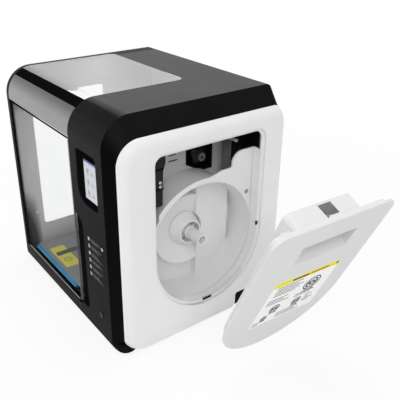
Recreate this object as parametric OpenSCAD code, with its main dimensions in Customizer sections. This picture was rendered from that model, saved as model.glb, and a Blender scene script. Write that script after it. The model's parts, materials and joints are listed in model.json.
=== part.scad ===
// Enclosed desktop filament printer, shown with its spool cover lifted off.
// Millimetres, +Z up, front towards -Y, spool side towards +X.

/* [Housing] */
// Width across both sides
body_w = 404; // [398:1:430]
// Depth from the door to the back
body_d = 329; // [325:1:350]
// Height from the table to the top
body_h = 405; // [400:1:430]
// Height of the rubber feet
foot_h = 6; // [4:0.5:9]
// Radius of a rubber foot
foot_r = 10; // [8:0.5:12]
// Wall of the black hoop
hoop_wall = 4; // [3:0.5:5]
// Wall of the other moulded shells
shell_wall = 3; // [2.5:0.5:3.5]
// Radius of the upper front corner
front_top_r = 50; // [42:1:56]
// Radius of the lower front corner
front_low_r = 7; // [6:1:10]
// Radius of the rear corners
rear_r = 11; // [8:1:14]

/* [Bulged side] */
// Reach of the bulged side beyond the hoop
side_bulge = 35; // [32:1:38]
// Reach of the white panel beyond the black ring
panel_crown = 14; // [12:1:16]
// Drop of the ring's outer edge below the top
ring_drop = 31; // [28:1:34]
// Set-back of the ring's outer edge behind the front
ring_back = 11.5; // [9:0.5:14]
// Corner radius of the ring's outer edge
ring_r = 40; // [34:1:46]
// Lower front corner radius of the ring's outer edge
ring_low_r = 24; // [18:1:30]
// Drop of the panel's flat face below the top
flat_drop = 50; // [46:1:53]
// Set-back of the panel's flat face behind the front
flat_back = 26; // [22:1:30]

/* [Front] */
// Width of the rail on the closed side
rail_w = 12; // [10:1:15]
// Width of the column between the door and the bulged side
column_w = 142; // [138:1:146]
// Height of the sill under the door
sill_h = 27; // [24:1:30]
// Drop of the door's upper edge below the top
beam_drop = 56; // [52:1:60]
// Set-back of the dark bar over the corner
bar_front = 17; // [14:1:19]
// Set-back of the top window's front edge
window_front = 33.5; // [30:0.5:35]
// Set-back of the top window's rear edge
window_back = 226.5; // [215:0.5:235]
// Radius of the top window's rear corners
window_r = 14; // [10:1:18]
// Thickness of the door
door_t = 4; // [3:0.5:5]
// Gap round the door
door_gap = 0.8; // [0.6:0.1:1.2]
// Radius of the door's hinge pins
door_pin_r = 1.5; // [1.2:0.1:1.6]
// Width of the finger recess beside the door
recess_w = 29; // [24:1:32]
// Height of the finger recess
recess_h = 181; // [160:1:190]
// Depth of the finger recess
recess_depth = 12; // [10:1:14]
// Width of the screen bezel
bezel_w = 63; // [60:1:66]
// Height of the screen bezel
bezel_h = 90; // [84:1:94]
// Width of the lit screen
screen_w = 39; // [36:1:42]
// Height of the lit screen
screen_h = 66; // [60:1:70]
// Radius of the front button
button_r = 6; // [5:0.5:7]
// Height of the front button over the hoop
button_rise = 0.8; // [0.6:0.1:1.2]

/* [Spool hatch] */
// Distance of the spool axis behind the middle of the body
hatch_y = 14; // [10:1:18]
// Height of the spool axis
hatch_z = 156; // [153:1:160]
// Half width of the hatch at the panel's face
hatch_half = 112; // [110:1:113]
// Drop of the hatch's upper edge below the top
hatch_drop = 59; // [58:1:62]
// Radius of the hatch's upper corners
hatch_r = 20; // [16:1:24]
// Width of the ledge that the cover rests on
hatch_ledge = 5.5; // [5:0.5:6.5]
// Thickness of the lift-off cover
cover_t = 4.8; // [4:0.2:5.4]
// Gap round the lift-off cover
cover_gap = 1; // [0.8:0.1:1.4]
// Angle of the lift-off cover as it is held out
cover_angle = 23.7; // [20:0.1:26]
// Depth of the spool well behind the panel's face
well_depth = 90; // [86:1:93]
// Depth of the spool tray's rim behind the panel's face
rim_depth = 24; // [23:1:27]
// Radius of the dish behind the spool
dish_r = 67; // [60:1:72]
// Radius of the hub's cup
cup_r = 22; // [20:0.5:24]
// Radius of the hub's spindle
spindle_r = 10; // [9.5:0.25:11]
// Radius of the axle inside the spindle
axle_r = 7.4; // [6.8:0.1:7.6]
// Free length of the spindle past the cup
spindle_len = 34; // [30:1:36]

/* [Motion] */
// Space between the build plate and the sides of the door opening
plate_gap = 32; // [31:1:38]
// Travel of the build plate
plate_travel = 150; // [130:1:152]
// Travel of the gantry upwards
gantry_travel = 150; // [120:1:160]
// Height of the build plate's surface over the floor of the body
plate_rise = 39; // [39:0.5:42]
// Radius of the guide rods under the plate and beside the gantry
rod_r = 4; // [3.5:0.25:4.25]
// Radius of the rods across the gantry
cross_rod_r = 3; // [2.5:0.25:3.5]
// Radius of the lifting screw
screw_r = 4; // [3.5:0.25:4.5]
// Radial clearance of sliding bearings
slide_clear = 0.05; // [0.04:0.01:0.09]
// Side of the larger motors
motor_w = 42; // [40:0.5:43]
// Side of the smaller motors
small_motor_w = 28; // [26:0.5:29]

/* [Hidden] */
$fn = 64;
seam = 0.2;
eps = 0.01;
far = 600;
arc_steps = 12;

// Faces of the body
x_l = -body_w / 2;
x_r = body_w / 2;
y_f = -body_d / 2;
y_b = body_d / 2;
z_b = foot_h;
z_t = body_h;
hoop_x = x_r - side_bulge;
ring_x = x_r - panel_crown;
notch_w = 90.5;
notch_h = 29;
notch_depth = 3;
crown_steps = [0, 30, 60, 90];
rear_plan_r = 9;

// Openings of the hoop
open_l = x_l + rail_w;
open_r = x_r - column_w;
sill_z = z_b + sill_h;
beam_z = z_t - beam_drop;
bar_y = y_f + bar_front;
glass_y0 = y_f + window_front;
glass_y1 = y_f + window_back;
rear_margin = 22;
pane_t = 3;
side_front = 41.5;
side_rear = 204.5;
side_low = 56;
door_x0 = open_l + door_gap + door_t / 2 + 0.4;
door_axis = [door_x0, y_f + door_t / 2];
door_pin_len = 4;
recess_z = sill_z + 3;
bezel_lo = [open_r + 23, beam_z - 10 - bezel_h];
screen_lo = [bezel_lo.x + bezel_w - screen_w - 2, bezel_lo.y + 12];
button_at = [x_r - 68, z_b + 45];

// Hatch, its ledge and the parts in it
hatch_top = z_t - hatch_drop;
inner_half = hatch_half - hatch_ledge;
inner_top = hatch_top - hatch_ledge;
inner_r = hatch_r - hatch_ledge;
seat_x = x_r - cover_t - seam;
tray_back = x_r - well_depth;
rim_x = x_r - rim_depth;
collar_x = rim_x + 1;
well_r = inner_half;
dish_x = tray_back + 19;
cup_x = tray_back + 31.4;
hub_back = tray_back + 9;
axle_foot = 6;
bracket_edge = hatch_y - inner_half + 31;
shoulder_r = spindle_r + 1.5;
flare_r = cup_r + 9;
flare_x = hub_back + 1;
flange_top = hatch_z + well_r + 41;

// Cover's swing away from its seat
cover_axis = [-0.019, 1, -0.080];
swing_out = 64.4;
swing_drop = 425.4;
cover_pivot = [x_r + swing_out, hatch_y, hatch_z - swing_drop];
cover_half = hatch_half - cover_gap;
cover_top = hatch_top - cover_gap;
cover_far_x = cover_pivot.x + (x_r - cover_pivot.x) * cos(cover_angle)
  + (cover_top - cover_pivot.z) * sin(cover_angle);
middle_x = (x_l + cover_far_x) / 2;

// Hollow grip on the back of the cover
grip_depth = 42;
grip_rise = 28;
grip_y = [hatch_y - 58, hatch_y + 59];
grip_z = [cover_top - 81, cover_top - 14];
grip_back = x_r - grip_depth;
grip_low = grip_z[0] + grip_rise * (seat_x + 1 - rim_x) / (seat_x + 1 - grip_back);
grip_room = 2;

// Chamber
floor_t = 2;
floor_z = z_b + hoop_wall + floor_t;
liner_t = 2;
panel_x = x_l + 2;
liner_x = panel_x + shell_wall;
part_x = open_r + 16;
bay_x = part_x + shell_wall;
bed_x = (open_l + open_r) / 2;
rear_in = y_b - hoop_wall;

// Bed and its drive
bed_z = z_b + plate_rise;
plate_t = 4;
heater_t = 4;
carrier_t = 3;
standoff_h = 2;
carrier_z = bed_z - plate_t - heater_t - standoff_h - carrier_t;
rod_z = floor_z + 10;
y_belt_x = part_x - motor_w - 17;
rod_half = y_belt_x - 22 - bed_x;
rod_xs = [bed_x - rod_half, bed_x + rod_half];
grip_w = 6;
plate_w = open_r - open_l - 2 * plate_gap;
plate_y0 = y_f + door_t + grip_w + 1.5;
plate_d = rear_in - shell_wall - 0.5 - plate_travel - plate_y0;
bracket_t = 7;
floor_front = 24;
floor_y0 = y_f + floor_front;
floor_y1 = y_b - rear_r;
bracket_y0 = floor_y0;
bracket_y1 = floor_y1 - bracket_t;
carrier_y0 = plate_y0 + 20;
carrier_y1 = plate_y0 + plate_d - 20;
slide_len = 20;
slide_w = 20;
pulley_r = 5;
pulley_w = 7;
shaft_r = 2.5;
belt_t = 1.4;
belt_w = 5;
belt_gap = 0.4;
belt_r = pulley_r + 0.3;
pin_r = 2;
clamp_y = carrier_y0 + 14;
clamp_len = 20;
y_motor_y = y_b - 45;
y_idler_y = floor_y0 + 8;
y_motor_x = part_x - small_motor_w - 14;

// Gantry and its drive
gantry_y = y_b - 124.5;
gantry_z = bed_z + 17;
end_h = 50;
end_reach = 27;
end_wall = 10;
end_depth = 26;
x_motor_half = 13;
end_base = 8;
rod_seat = 9;
cross_z = [gantry_z + 13, gantry_z + 37];
z_screw = [part_x - motor_w / 2 - 2, gantry_y + 35];
z_rod_r = [part_x - 38, gantry_y + 18];
z_rod_l = [open_l + 13, gantry_y + 18];
z_motor_h = 34;
z_motor_top = floor_z + z_motor_h;
z_top = gantry_z + end_h + gantry_travel + 26;
right_x0 = part_x - 44;
right_x1 = part_x - 2;
left_x0 = liner_x + liner_t + 2;
left_x1 = open_l + end_reach;
x_motor_at = [right_x1 - x_motor_half - 2, gantry_y];
x_motor_h = 24;
x_belt_z = gantry_z + end_base + x_motor_h + 10;
column_top = x_belt_z - 1;
x_idler_at = [left_x0 + 9, gantry_y];
head_w = 40;
head_h = 46;
head_front = 10;
head_back = 9;
clamp_half = 12;
fan_w = 30;
fan_t = 10;
nozzle_y = gantry_y - 28;
nozzle_z = bed_z + 2;
fan_z = gantry_z + 24;
shroud_y = nozzle_y - 13 - fan_t;
fan_pin_r = 1.5;

// Feeder behind the hatch
feed_lo = [hatch_y + 10, hatch_z + 98];
feed_size = [57, 46];
feed_cut = [32, 18];
feed_back = bay_x + 3;
gear_r = 8;
roller_r = 6;
strand = 1.75;
gear_at = [feed_lo.x + 40, feed_lo.y + 21];
roller_at = [gear_at.x - gear_r - strand - roller_r, gear_at.y];
lever_at = [roller_at.x - 6, roller_at.y + 15];
feed_motor_h = 16;
gear_x = feed_back + shell_wall + feed_motor_h + 2;
gear_w = 6;
lever_x = gear_x + gear_w + 0.6;
lever_t = 3;

// Electronics and the back of the body
supply_size = [145, 96];
board_size = [152, 100];
board_t = 1.6;
inlet_at = [x_r - 90, z_b + 44];
rocker_at = [x_r - 90, z_b + 78];
inlet_size = [28, 20];
rocker_size = [20, 14];
rocker_y = rear_in - 5;
rocker_tilt = 8;
rocker_pin_r = 1.2;
inlet_depth = 16;
screw_head_r = 3;
screw_head_h = 1.6;

// Shapes used by several parts
module placed() {
  translate([-middle_x, 0, 0]) children();
}

// Outline in Y and Z drawn out along X
module along_x(x0, x1) {
  translate([x0, 0, 0]) rotate([90, 0, 90]) linear_extrude(x1 - x0) children();
}

// Outline in X and Z drawn out along Y
module along_y(y0, y1) {
  translate([0, y1, 0]) rotate([90, 0, 0]) linear_extrude(y1 - y0) children();
}

module block(lo, hi) {
  translate(lo) cube(hi - lo);
}

module rod_x(x0, x1, at, r) {
  translate([x0, at.x, at.y]) rotate([0, 90, 0]) cylinder(h = x1 - x0, r = r);
}

module rod_y(y0, y1, at, r) {
  translate([at.x, y1, at.y]) rotate([90, 0, 0]) cylinder(h = y1 - y0, r = r);
}

module rod_z(z0, z1, at, r) {
  translate([at.x, at.y, z0]) cylinder(h = z1 - z0, r = r);
}

// Rectangle with its own radius at each corner, from lower left round to upper left
module rounded(lo, hi, r) {
  polygon([
    [lo.x + r[0], lo.y], [hi.x - r[1], lo.y], [hi.x, lo.y + r[1]], [hi.x, hi.y - r[2]],
    [hi.x - r[2], hi.y], [lo.x + r[3], hi.y], [lo.x, hi.y - r[3]], [lo.x, lo.y + r[0]]
  ]);
  translate([lo.x + r[0], lo.y + r[0]]) circle(r[0]);
  translate([hi.x - r[1], lo.y + r[1]]) circle(r[1]);
  translate([hi.x - r[2], hi.y - r[2]]) circle(r[2]);
  translate([lo.x + r[3], hi.y - r[3]]) circle(r[3]);
}

// Side outline of the body, drawn in from all sides by inset
module side_outline(inset) {
  rounded([y_f + inset, z_b + inset], [y_b - inset, z_t - inset],
    [front_low_r - inset, rear_r - inset, rear_r - inset, front_top_r - inset]);
}

// Side outline set back at the front and dropped at the top
module raised_outline(back, drop, r, inset) {
  rounded([y_f + back + inset, z_b + inset], [y_b - inset, z_t - drop - inset],
    [ring_low_r - inset, rear_r - inset, rear_r - inset, r - inset]);
}

// Skin that runs over the hoop's opening between two set-backs
module skin(t) {
  along_x(open_l + seam, open_r - seam) difference() {
    side_outline(0);
    side_outline(t);
  }
}

// Hatch outline: half round below, straight sides, rounded upper corners
module hatch_outline(half, top, r) {
  translate([hatch_y, hatch_z]) circle(half);
  translate([hatch_y, 0]) {
    polygon([[-half, hatch_z], [half, hatch_z], [half, top - r], [half - r, top],
      [r - half, top], [-half, top - r]]);
    for (side = [-1, 1]) translate([side * (half - r), top - r]) circle(r);
  }
}

// Finger recess beside the door, in X and Z
module recess_outline(x0, grow) {
  lo = [x0, recess_z - grow];
  hi = [open_r + recess_w + grow, recess_z + recess_h + grow];
  intersection() {
    rounded(lo, hi, [0.5, 10 + grow, recess_w - 3 + grow, 0.5]);
    translate(lo) square(hi - lo);
  }
}

// Screen bezel, in X and Z
module bezel_outline(inset) {
  rounded([bezel_lo.x + inset, bezel_lo.y + inset],
    [bezel_lo.x + bezel_w - inset, bezel_lo.y + bezel_h - inset],
    [25 - inset, 6 - inset, 6 - inset, 6 - inset]);
}

// Casing

module outer_hoop() {
  color("#2b2b2b") placed() difference() {
    along_x(x_l, hoop_x) difference() {
      side_outline(0);
      side_outline(hoop_wall);
    }
    block([open_l, y_f - 1, sill_z], [open_r, glass_y0, z_t + 1]);
    pane_column(0);
    block([open_l, rear_in - 1, z_b + rear_margin], [hoop_x - rear_margin, y_b + 1, z_t - rear_margin]);
    along_y(y_f - 1, y_f + hoop_wall + 1) {
      recess_outline(open_r - eps, 0);
      bezel_outline(0);
    }
    rod_y(y_f - 1, y_f + hoop_wall + 1, button_at, button_r + 0.3);
    difference() {
      block([x_l - 1, y_b - rear_plan_r, z_b - 1], [x_l + rear_plan_r, y_b + 1, z_t + 1]);
      rod_z(z_b - 2, z_t + 2, [x_l + rear_plan_r, y_b - rear_plan_r], rear_plan_r);
    }
    rod_z(sill_z - door_pin_len - 1, sill_z + 1, door_axis, door_pin_r + slide_clear);
  }
}

// Corner points of a rounded outline, in the order of rounded()
function arc(middle, r, from) = [
  for (i = [0 : arc_steps]) middle + r * [cos(from + 90 * i / arc_steps), sin(from + 90 * i / arc_steps)]
];
function outline_points(lo, hi, r) = concat(
  arc([lo.x + r[0], lo.y + r[0]], r[0], 180), arc([hi.x - r[1], lo.y + r[1]], r[1], 270),
  arc([hi.x - r[2], hi.y - r[2]], r[2], 0), arc([lo.x + r[3], hi.y - r[3]], r[3], 90)
);
function side_points(x, back, drop, r, inset) = [
  for (p = outline_points([y_f + back + inset, z_b + inset], [y_b - inset, z_t - drop - inset],
    [r[0] - inset, rear_r - inset, rear_r - inset, r[1] - inset])) [x, p.x, p.y]
];

// Black bevel that joins the hoop to the white panel, lofted through four loops
module side_ring() {
  hoop_corners = [front_low_r, front_top_r];
  ring_corners = [ring_low_r, ring_r];
  loops = [
    side_points(hoop_x, 0, 0, hoop_corners, 0), side_points(ring_x, ring_back, ring_drop, ring_corners, 0),
    side_points(ring_x, ring_back, ring_drop, ring_corners, shell_wall),
    side_points(hoop_x, 0, 0, hoop_corners, shell_wall)
  ];
  count = len(loops[0]);
  color("#161616") placed() {
    polyhedron(
      points = [for (loop = loops, p = loop) p],
      faces = [for (k = [0 : 3], i = [0 : count - 1])
        let (a = k * count, b = (k + 1) % 4 * count, j = (i + 1) % count)
        each [[a + i, b + i, b + j], [a + i, b + j, a + j]]]);
    half_wall = shell_wall / 2;
    along_x(ring_x - shell_wall, ring_x - seam)
      rounded([y_b - notch_w - 6, z_b + half_wall], [y_b - half_wall, z_b + notch_h + 6],
        [1, rear_r - half_wall, 1, 12]);
    along_x(ring_x - 2 * seam, x_r - notch_depth)
      rounded([y_b - notch_w + seam, z_b + half_wall], [y_b - half_wall, z_b + notch_h - seam],
        [1, rear_r - half_wall, 1, 5]);
  }
}

// One slice of the crown, which rolls from the ring to the flat face
module crown_slice(step, inset) {
  rise = (panel_crown - inset) * sin(step);
  roll = 1 - cos(step);
  x = ring_x + rise - (step == 0 ? inset / 3 : 0);
  along_x(x - eps * sin(step), x + eps * cos(step))
    raised_outline(ring_back + (flat_back - ring_back) * roll, ring_drop + (flat_drop - ring_drop) * roll,
      ring_r - 6 * roll, inset);
}

module right_panel() {
  color("#ececec") placed() difference() {
    union() {
      difference() {
        hull() for (step = crown_steps) crown_slice(step, 0);
        hull() for (step = crown_steps) crown_slice(step, shell_wall);
      }
      along_x(collar_x, x_r - eps)
        hatch_outline(inner_half + shell_wall, inner_top + shell_wall, inner_r + shell_wall);
      along_x(seat_x - shell_wall, x_r - eps)
        hatch_outline(hatch_half + shell_wall, hatch_top + shell_wall, hatch_r + shell_wall);
    }
    along_x(collar_x - 1, x_r + 1) hatch_outline(inner_half, inner_top, inner_r);
    along_x(seat_x, x_r + 1) hatch_outline(hatch_half, hatch_top, hatch_r);
    along_x(ring_x - 1, x_r + 1) notch_outline();
    block([seat_x - shell_wall - 1, hatch_y + inner_half - 2, hatch_z + 4],
      [seat_x + 1, hatch_y + inner_half + shell_wall + 0.5, hatch_z + 12]);
    block([seat_x - shell_wall - 1, hatch_y - 12, hatch_z - inner_half - 3.5],
      [seat_x + 1, hatch_y + 8, hatch_z - inner_half + 1]);
    block([collar_x - 1, hatch_y + inner_half - 16, flange_top + 1],
      [seat_x - shell_wall, hatch_y + inner_half + shell_wall + 1, hatch_top]);
  }
}

// Grip notch in the panel's lower rear corner
module notch_outline() {
  flare = 10;
  rounded([y_b - notch_w, z_b - 20], [y_b + 20, z_b + notch_h], [1, 1, 1, 5]);
  difference() {
    translate([y_b - notch_w - flare, z_b - 1]) square([flare + 1, flare + 1]);
    translate([y_b - notch_w - flare, z_b + flare]) circle(flare);
  }
}

module left_panel() {
  color("#ececec") placed() along_x(panel_x, panel_x + shell_wall) difference() {
    side_outline(hoop_wall + seam);
    left_opening(0);
  }
}

module left_opening(inset) {
  rounded([y_f + side_front + inset, z_b + side_low + inset], [y_f + side_rear - inset, beam_z - 3 - inset],
    [8, 8, 8, 8]);
}

module left_liner() {
  color("#9a9a9a") placed() along_x(liner_x, liner_x + liner_t) difference() {
    side_outline(hoop_wall + seam);
    left_opening(3);
  }
}

module left_window() {
  color([0.85, 0.9, 0.92, 0.3]) placed() along_x(panel_x, panel_x + shell_wall) left_opening(seam);
}

// Upright through the top window, with its rounded rear corners
module pane_column(inset) {
  translate([0, 0, beam_z]) linear_extrude(z_t - beam_z + 1)
    rounded([open_l + inset, glass_y0 - eps + inset], [open_r - inset, glass_y1 - inset],
      [0.5, 0.5, window_r - inset, window_r - inset]);
}

module top_window() {
  color([0.85, 0.9, 0.92, 0.3]) placed() intersection() {
    skin(pane_t);
    pane_column(seam);
  }
}

module front_beam() {
  color("#9b9b9b") placed() difference() {
    intersection() {
      skin(pane_t + 1);
      block([open_l, y_f - 1, beam_z], [open_r, bar_y, z_t + 1]);
    }
    rod_z(beam_z - 1, beam_z + door_pin_len + 1, door_axis, door_pin_r + slide_clear);
  }
}

module top_bar() {
  color("#0c0c0c") placed() intersection() {
    skin(pane_t + 1);
    block([open_l, bar_y + seam, beam_z], [open_r, glass_y0, z_t + 1]);
  }
}

module finger_recess() {
  color("#0b0b0b") placed() difference() {
    along_y(y_f + hoop_wall + eps, y_f + recess_depth) recess_outline(open_r + seam, 3);
    along_y(y_f - 1, y_f + recess_depth - 2) recess_outline(open_r + 2, -0.3);
  }
}

module screen_bezel() {
  color("#070707") placed() difference() {
    along_y(y_f + 1.5, y_f + 8) bezel_outline(seam);
    block([screen_lo.x - seam, y_f - 1, screen_lo.y - seam],
      [screen_lo.x + screen_w + seam, y_f + 4.5, screen_lo.y + screen_h + seam]);
  }
}

module touch_screen() {
  color("#dfe3e8") placed() along_y(y_f + 2, y_f + 4.5)
    rounded(screen_lo, [screen_lo.x + screen_w, screen_lo.y + screen_h], [1, 1, 1, 1]);
}

module front_button() {
  color("#1a1a1a") placed() {
    rod_y(y_f - button_rise, y_f + hoop_wall + 3, button_at, button_r);
    rod_y(y_f + hoop_wall + 0.3, y_f + hoop_wall + 3, button_at, button_r + 1.5);
  }
}

module rear_panel() {
  color("#d8d8d8") placed() difference() {
    block([liner_x + liner_t + seam, rear_in - shell_wall, z_b + rear_margin - 8],
      [hoop_x - rear_margin + 8, rear_in, z_t - rear_margin + 8]);
    for (row = [0 : 5])
      along_y(rear_in - shell_wall - 1, rear_in + 1)
        rounded([open_l + 40, z_b + 250 + row * 14], [open_l + 150, z_b + 255 + row * 14], [2, 2, 2, 2]);
    along_y(rear_in - shell_wall - 1, rear_in + 1) {
      rounded(inlet_at - inlet_size / 2, inlet_at + inlet_size / 2, [3, 3, 3, 3]);
      rounded(rocker_at - rocker_size / 2, rocker_at + rocker_size / 2, [1, 1, 1, 1]);
    }
  }
}

module chamber_floor() {
  color("#858789") placed() block([liner_x + liner_t, floor_y0, z_b + hoop_wall],
    [hoop_x - 10, floor_y1, floor_z]);
}

module feet() {
  color("#202020") placed() for (x = [x_l + 30, hoop_x - 20], y = [y_f + 36, y_b - 30])
    rod_z(0, z_b, [x, y], foot_r);
}

module partition_wall() {
  lo = [y_f + recess_depth + 10, floor_z];
  color("#8f8f8f") placed() along_x(part_x, bay_x) intersection() {
    side_outline(hoop_wall + seam);
    translate(lo) square([rear_in - shell_wall - lo.x, z_t]);
  }
}

// Door

module front_door() {
  color([0.85, 0.9, 0.92, 0.3]) placed() {
    block([door_x0, y_f, sill_z + door_gap], [open_r - door_gap, y_f + door_t, beam_z - door_gap]);
    rod_z(sill_z + door_gap, beam_z - door_gap, door_axis, door_t / 2);
    rod_z(sill_z - door_pin_len, beam_z + door_pin_len, door_axis, door_pin_r);
  }
}

// Spool compartment

// Rim round the well, which rises to the right in an S
module rim_flange() {
  rise_y = grip_y[1] + grip_room;
  rise_z = hatch_z + well_r;
  sweep_r = 100;
  difference() {
    intersection() {
      union() {
        translate([hatch_y, hatch_z]) circle(well_r + 9);
        rounded([rise_y, hatch_z], [hatch_y + well_r + 13.5, flange_top], [1, 1, 1, 21]);
        difference() {
          translate([hatch_y + 4, rise_z - 8]) square([rise_y - hatch_y - 2, 36.5]);
          translate([hatch_y + 4, rise_z + 8.2 + sweep_r]) circle(sweep_r);
        }
      }
      hatch_outline(inner_half + 2.5, inner_top, inner_r);
    }
    translate([hatch_y, hatch_z]) circle(well_r);
    translate([hatch_y - far - well_r + 18.5, hatch_z]) square(far);
    rounded([grip_y[0], grip_low - grip_room], [rise_y, far], [1, 4, 1, 1]);
  }
}

module spool_tray() {
  color("#d2d2d2") placed() {
    difference() {
      union() {
        rod_x(tray_back, rim_x, [hatch_y, hatch_z], well_r + shell_wall);
        along_x(rim_x - shell_wall, rim_x) rim_flange();
      }
      rod_x(tray_back + shell_wall + 3, rim_x + 1, [hatch_y, hatch_z], well_r);
      rod_x(tray_back - 1, rim_x, [hatch_y, hatch_z], axle_r + axle_foot + seam);
      rod_x(rim_x - 2.5, rim_x + 1, [hatch_y + well_r - 10, hatch_z + 66], 4.5);
    }
    difference() {
      rod_x(tray_back + shell_wall, dish_x, [hatch_y, hatch_z], dish_r);
      translate([hub_back - 1.5, hatch_y, hatch_z]) rotate([0, 90, 0])
        cylinder(h = dish_x - hub_back + 2, r1 = cup_r + 3, r2 = dish_r);
      rod_x(tray_back, dish_x, [hatch_y, hatch_z], cup_r + 3);
    }
    intersection() {
      rod_x(tray_back + shell_wall, dish_x + 1, [hatch_y, hatch_z], well_r + 1);
      difference() {
        block([tray_back, hatch_y + cup_r - 1, 0], [dish_x + 1, hatch_y + well_r - 14.5, z_t]);
        rod_x(tray_back, dish_x + 2, [hatch_y, hatch_z], flare_r + 1);
      }
    }
    for (y = [-1, 1], z = [-1, 1])
      rod_x(bay_x, tray_back, [hatch_y + 3 + (well_r - 19.5) * y, hatch_z + 36 * z], 5);
  }
}

module feed_wall() {
  bend_r = 30;
  bottom = hatch_z + 45;
  front = hatch_y - well_r - 3.5;
  bend_y = hatch_y + well_r - 28.5;
  color("#9c9c9c") placed() difference() {
    union() {
      translate([tray_back, 0, bottom]) linear_extrude(inner_top + 12 - bottom) {
        translate([0, front]) square([shell_wall, bend_y - front]);
        translate([-bend_r, bend_y]) intersection() {
          difference() {
            circle(bend_r + shell_wall);
            circle(bend_r);
          }
          square(bend_r + shell_wall);
        }
      }
      rod_x(tray_back - 2, tray_back + 36, [bend_y + 17, hatch_z + 152], 3);
    }
    rod_x(tray_back - bend_r - 1, rim_x, [hatch_y, hatch_z], well_r + shell_wall + seam);
    along_x(tray_back - 1, tray_back + shell_wall + 1) feed_outline(-seam);
  }
}

// Five-sided window of the feeder
module feed_outline(inset) {
  translate(feed_lo) polygon([
    [inset, feed_cut.y + inset / 2], [feed_cut.x + inset / 2, inset], [feed_size.x - inset, inset],
    [feed_size.x - inset, feed_size.y - inset], [inset, feed_size.y - inset]
  ]);
}

module hatch_bracket() {
  low = hatch_z + 92;
  left = hatch_y - inner_half - 6;
  color("#242424") placed() along_x(collar_x - 4, collar_x) intersection() {
    rounded([left, low], [bracket_edge, inner_top - 2], [2, 12, 2, 5]);
    polygon([[left - 1, low - 1], [bracket_edge - 6.5, low - 1], [bracket_edge - 4.5, low + 58],
      [bracket_edge, low + 72], [bracket_edge, inner_top], [left - 1, inner_top]]);
  }
}

module spool_axle() {
  color("#c8c8c8") placed() {
    rod_x(tray_back - 4, tray_back + axle_foot, [hatch_y, hatch_z], axle_r + axle_foot);
    rod_x(tray_back, cup_x + 20, [hatch_y, hatch_z], axle_r);
  }
}

module spool_hub() {
  color("#cfcfcf") placed() difference() {
    union() {
      rod_x(hub_back, hub_back + 3, [hatch_y, hatch_z], cup_r);
      difference() {
        union() {
          rod_x(hub_back, cup_x, [hatch_y, hatch_z], cup_r);
          translate([flare_x, hatch_y, hatch_z]) rotate([0, 90, 0])
            cylinder(h = cup_x - 1 - flare_x, r1 = flare_r, r2 = cup_r);
        }
        rod_x(hub_back + 3, cup_x + 1, [hatch_y, hatch_z], cup_r - 2.5);
      }
      rod_x(hub_back, cup_x, [hatch_y, hatch_z], shoulder_r);
      rod_x(hub_back, cup_x + spindle_len, [hatch_y, hatch_z], spindle_r);
      for (a = [0 : 60 : 300])
        translate([hub_back, hatch_y, hatch_z]) rotate([a, 0, 0])
          translate([0, -1, spindle_r - 1]) cube([cup_x - hub_back - 7, 2, cup_r - spindle_r]);
    }
    rod_x(hub_back - 1, cup_x + spindle_len + 1, [hatch_y, hatch_z], axle_r + slide_clear);
  }
}

// Cover in its seat, before it is swung out
module cover_seated() {
  trough_y = [hatch_y - 46, hatch_y + 54];
  grip_wall = 2.5;
  slope = grip_rise / grip_depth;
  difference() {
    union() {
      along_x(seat_x + seam, x_r) hatch_outline(cover_half, cover_top, hatch_r - cover_gap);
      along_x(seat_x - 8, seat_x + seam + eps) difference() {
        hatch_outline(inner_half - 3, inner_top - 4, inner_r - 3);
        hatch_outline(inner_half - 5.5, inner_top - 6.5, inner_r - 5.5);
      }
      along_y(grip_y[0], grip_y[1]) polygon([[seat_x + 1, grip_z[0]], [grip_back, grip_z[0] + grip_rise],
        [grip_back, grip_z[1]], [seat_x + 1, grip_z[1]]]);
      block([seat_x - 20, grip_y[0] - 15, grip_z[0] + 20], [seat_x + 1, grip_y[0] + 1, grip_z[1] - 12]);
    }
    along_y(trough_y[0], trough_y[1]) polygon([[x_r + 1, grip_z[0] + 3 - slope],
      [grip_back + grip_wall, grip_z[0] + 3 + slope * (grip_depth - grip_wall)],
      [grip_back + grip_wall, grip_z[1] - grip_wall],
      [seat_x - 1, grip_z[1] - grip_wall], [seat_x - 1, grip_z[0] + 42], [x_r + 1, grip_z[0] + 42]]);
    block([x_r - 38, hatch_y - 2, grip_z[1] - grip_wall - 1], [x_r - 16, hatch_y + 22, grip_z[1] + 1]);
  }
}

module filament_cover() {
  color("#dcdcdc") placed() translate(cover_pivot) rotate(a = cover_angle, v = cover_axis)
    translate(-cover_pivot) cover_seated();
}

// Feeder

module feeder_housing() {
  color("#151515") placed() {
    difference() {
      along_x(feed_back, tray_back + shell_wall + 1) feed_outline(0);
      along_x(feed_back + shell_wall, tray_back + shell_wall + 2) feed_outline(2);
      rod_x(tray_back - 1, rim_x, [hatch_y, hatch_z], well_r + shell_wall + seam);
    }
    rod_x(feed_back, lever_x + lever_t + 1, lever_at, pin_r);
    rod_x(feed_back, lever_x - 0.4, lever_at, pin_r + 2);
  }
}

module feeder_motor() {
  color("#3a3a3a") placed() {
    block([feed_back + shell_wall, gear_at.x - 13, gear_at.y - 13],
      [feed_back + shell_wall + feed_motor_h, gear_at.x + 13, gear_at.y + 13]);
    rod_x(feed_back + shell_wall + feed_motor_h, gear_x + gear_w, gear_at, shaft_r);
  }
}

module drive_gear() {
  teeth = 24;
  color("#b08d3c") placed() difference() {
    along_x(gear_x, gear_x + gear_w) {
      circle_at(gear_at, gear_r - 1);
      for (i = [0 : teeth - 1])
        translate(gear_at) rotate(i * 360 / teeth)
          polygon([[gear_r - 1.3, -0.6], [gear_r, -0.25], [gear_r, 0.25], [gear_r - 1.3, 0.6]]);
    }
    rod_x(gear_x - 1, gear_x + gear_w + 1, gear_at, shaft_r + slide_clear);
  }
}

module circle_at(at, r) {
  translate(at) circle(r);
}

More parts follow.
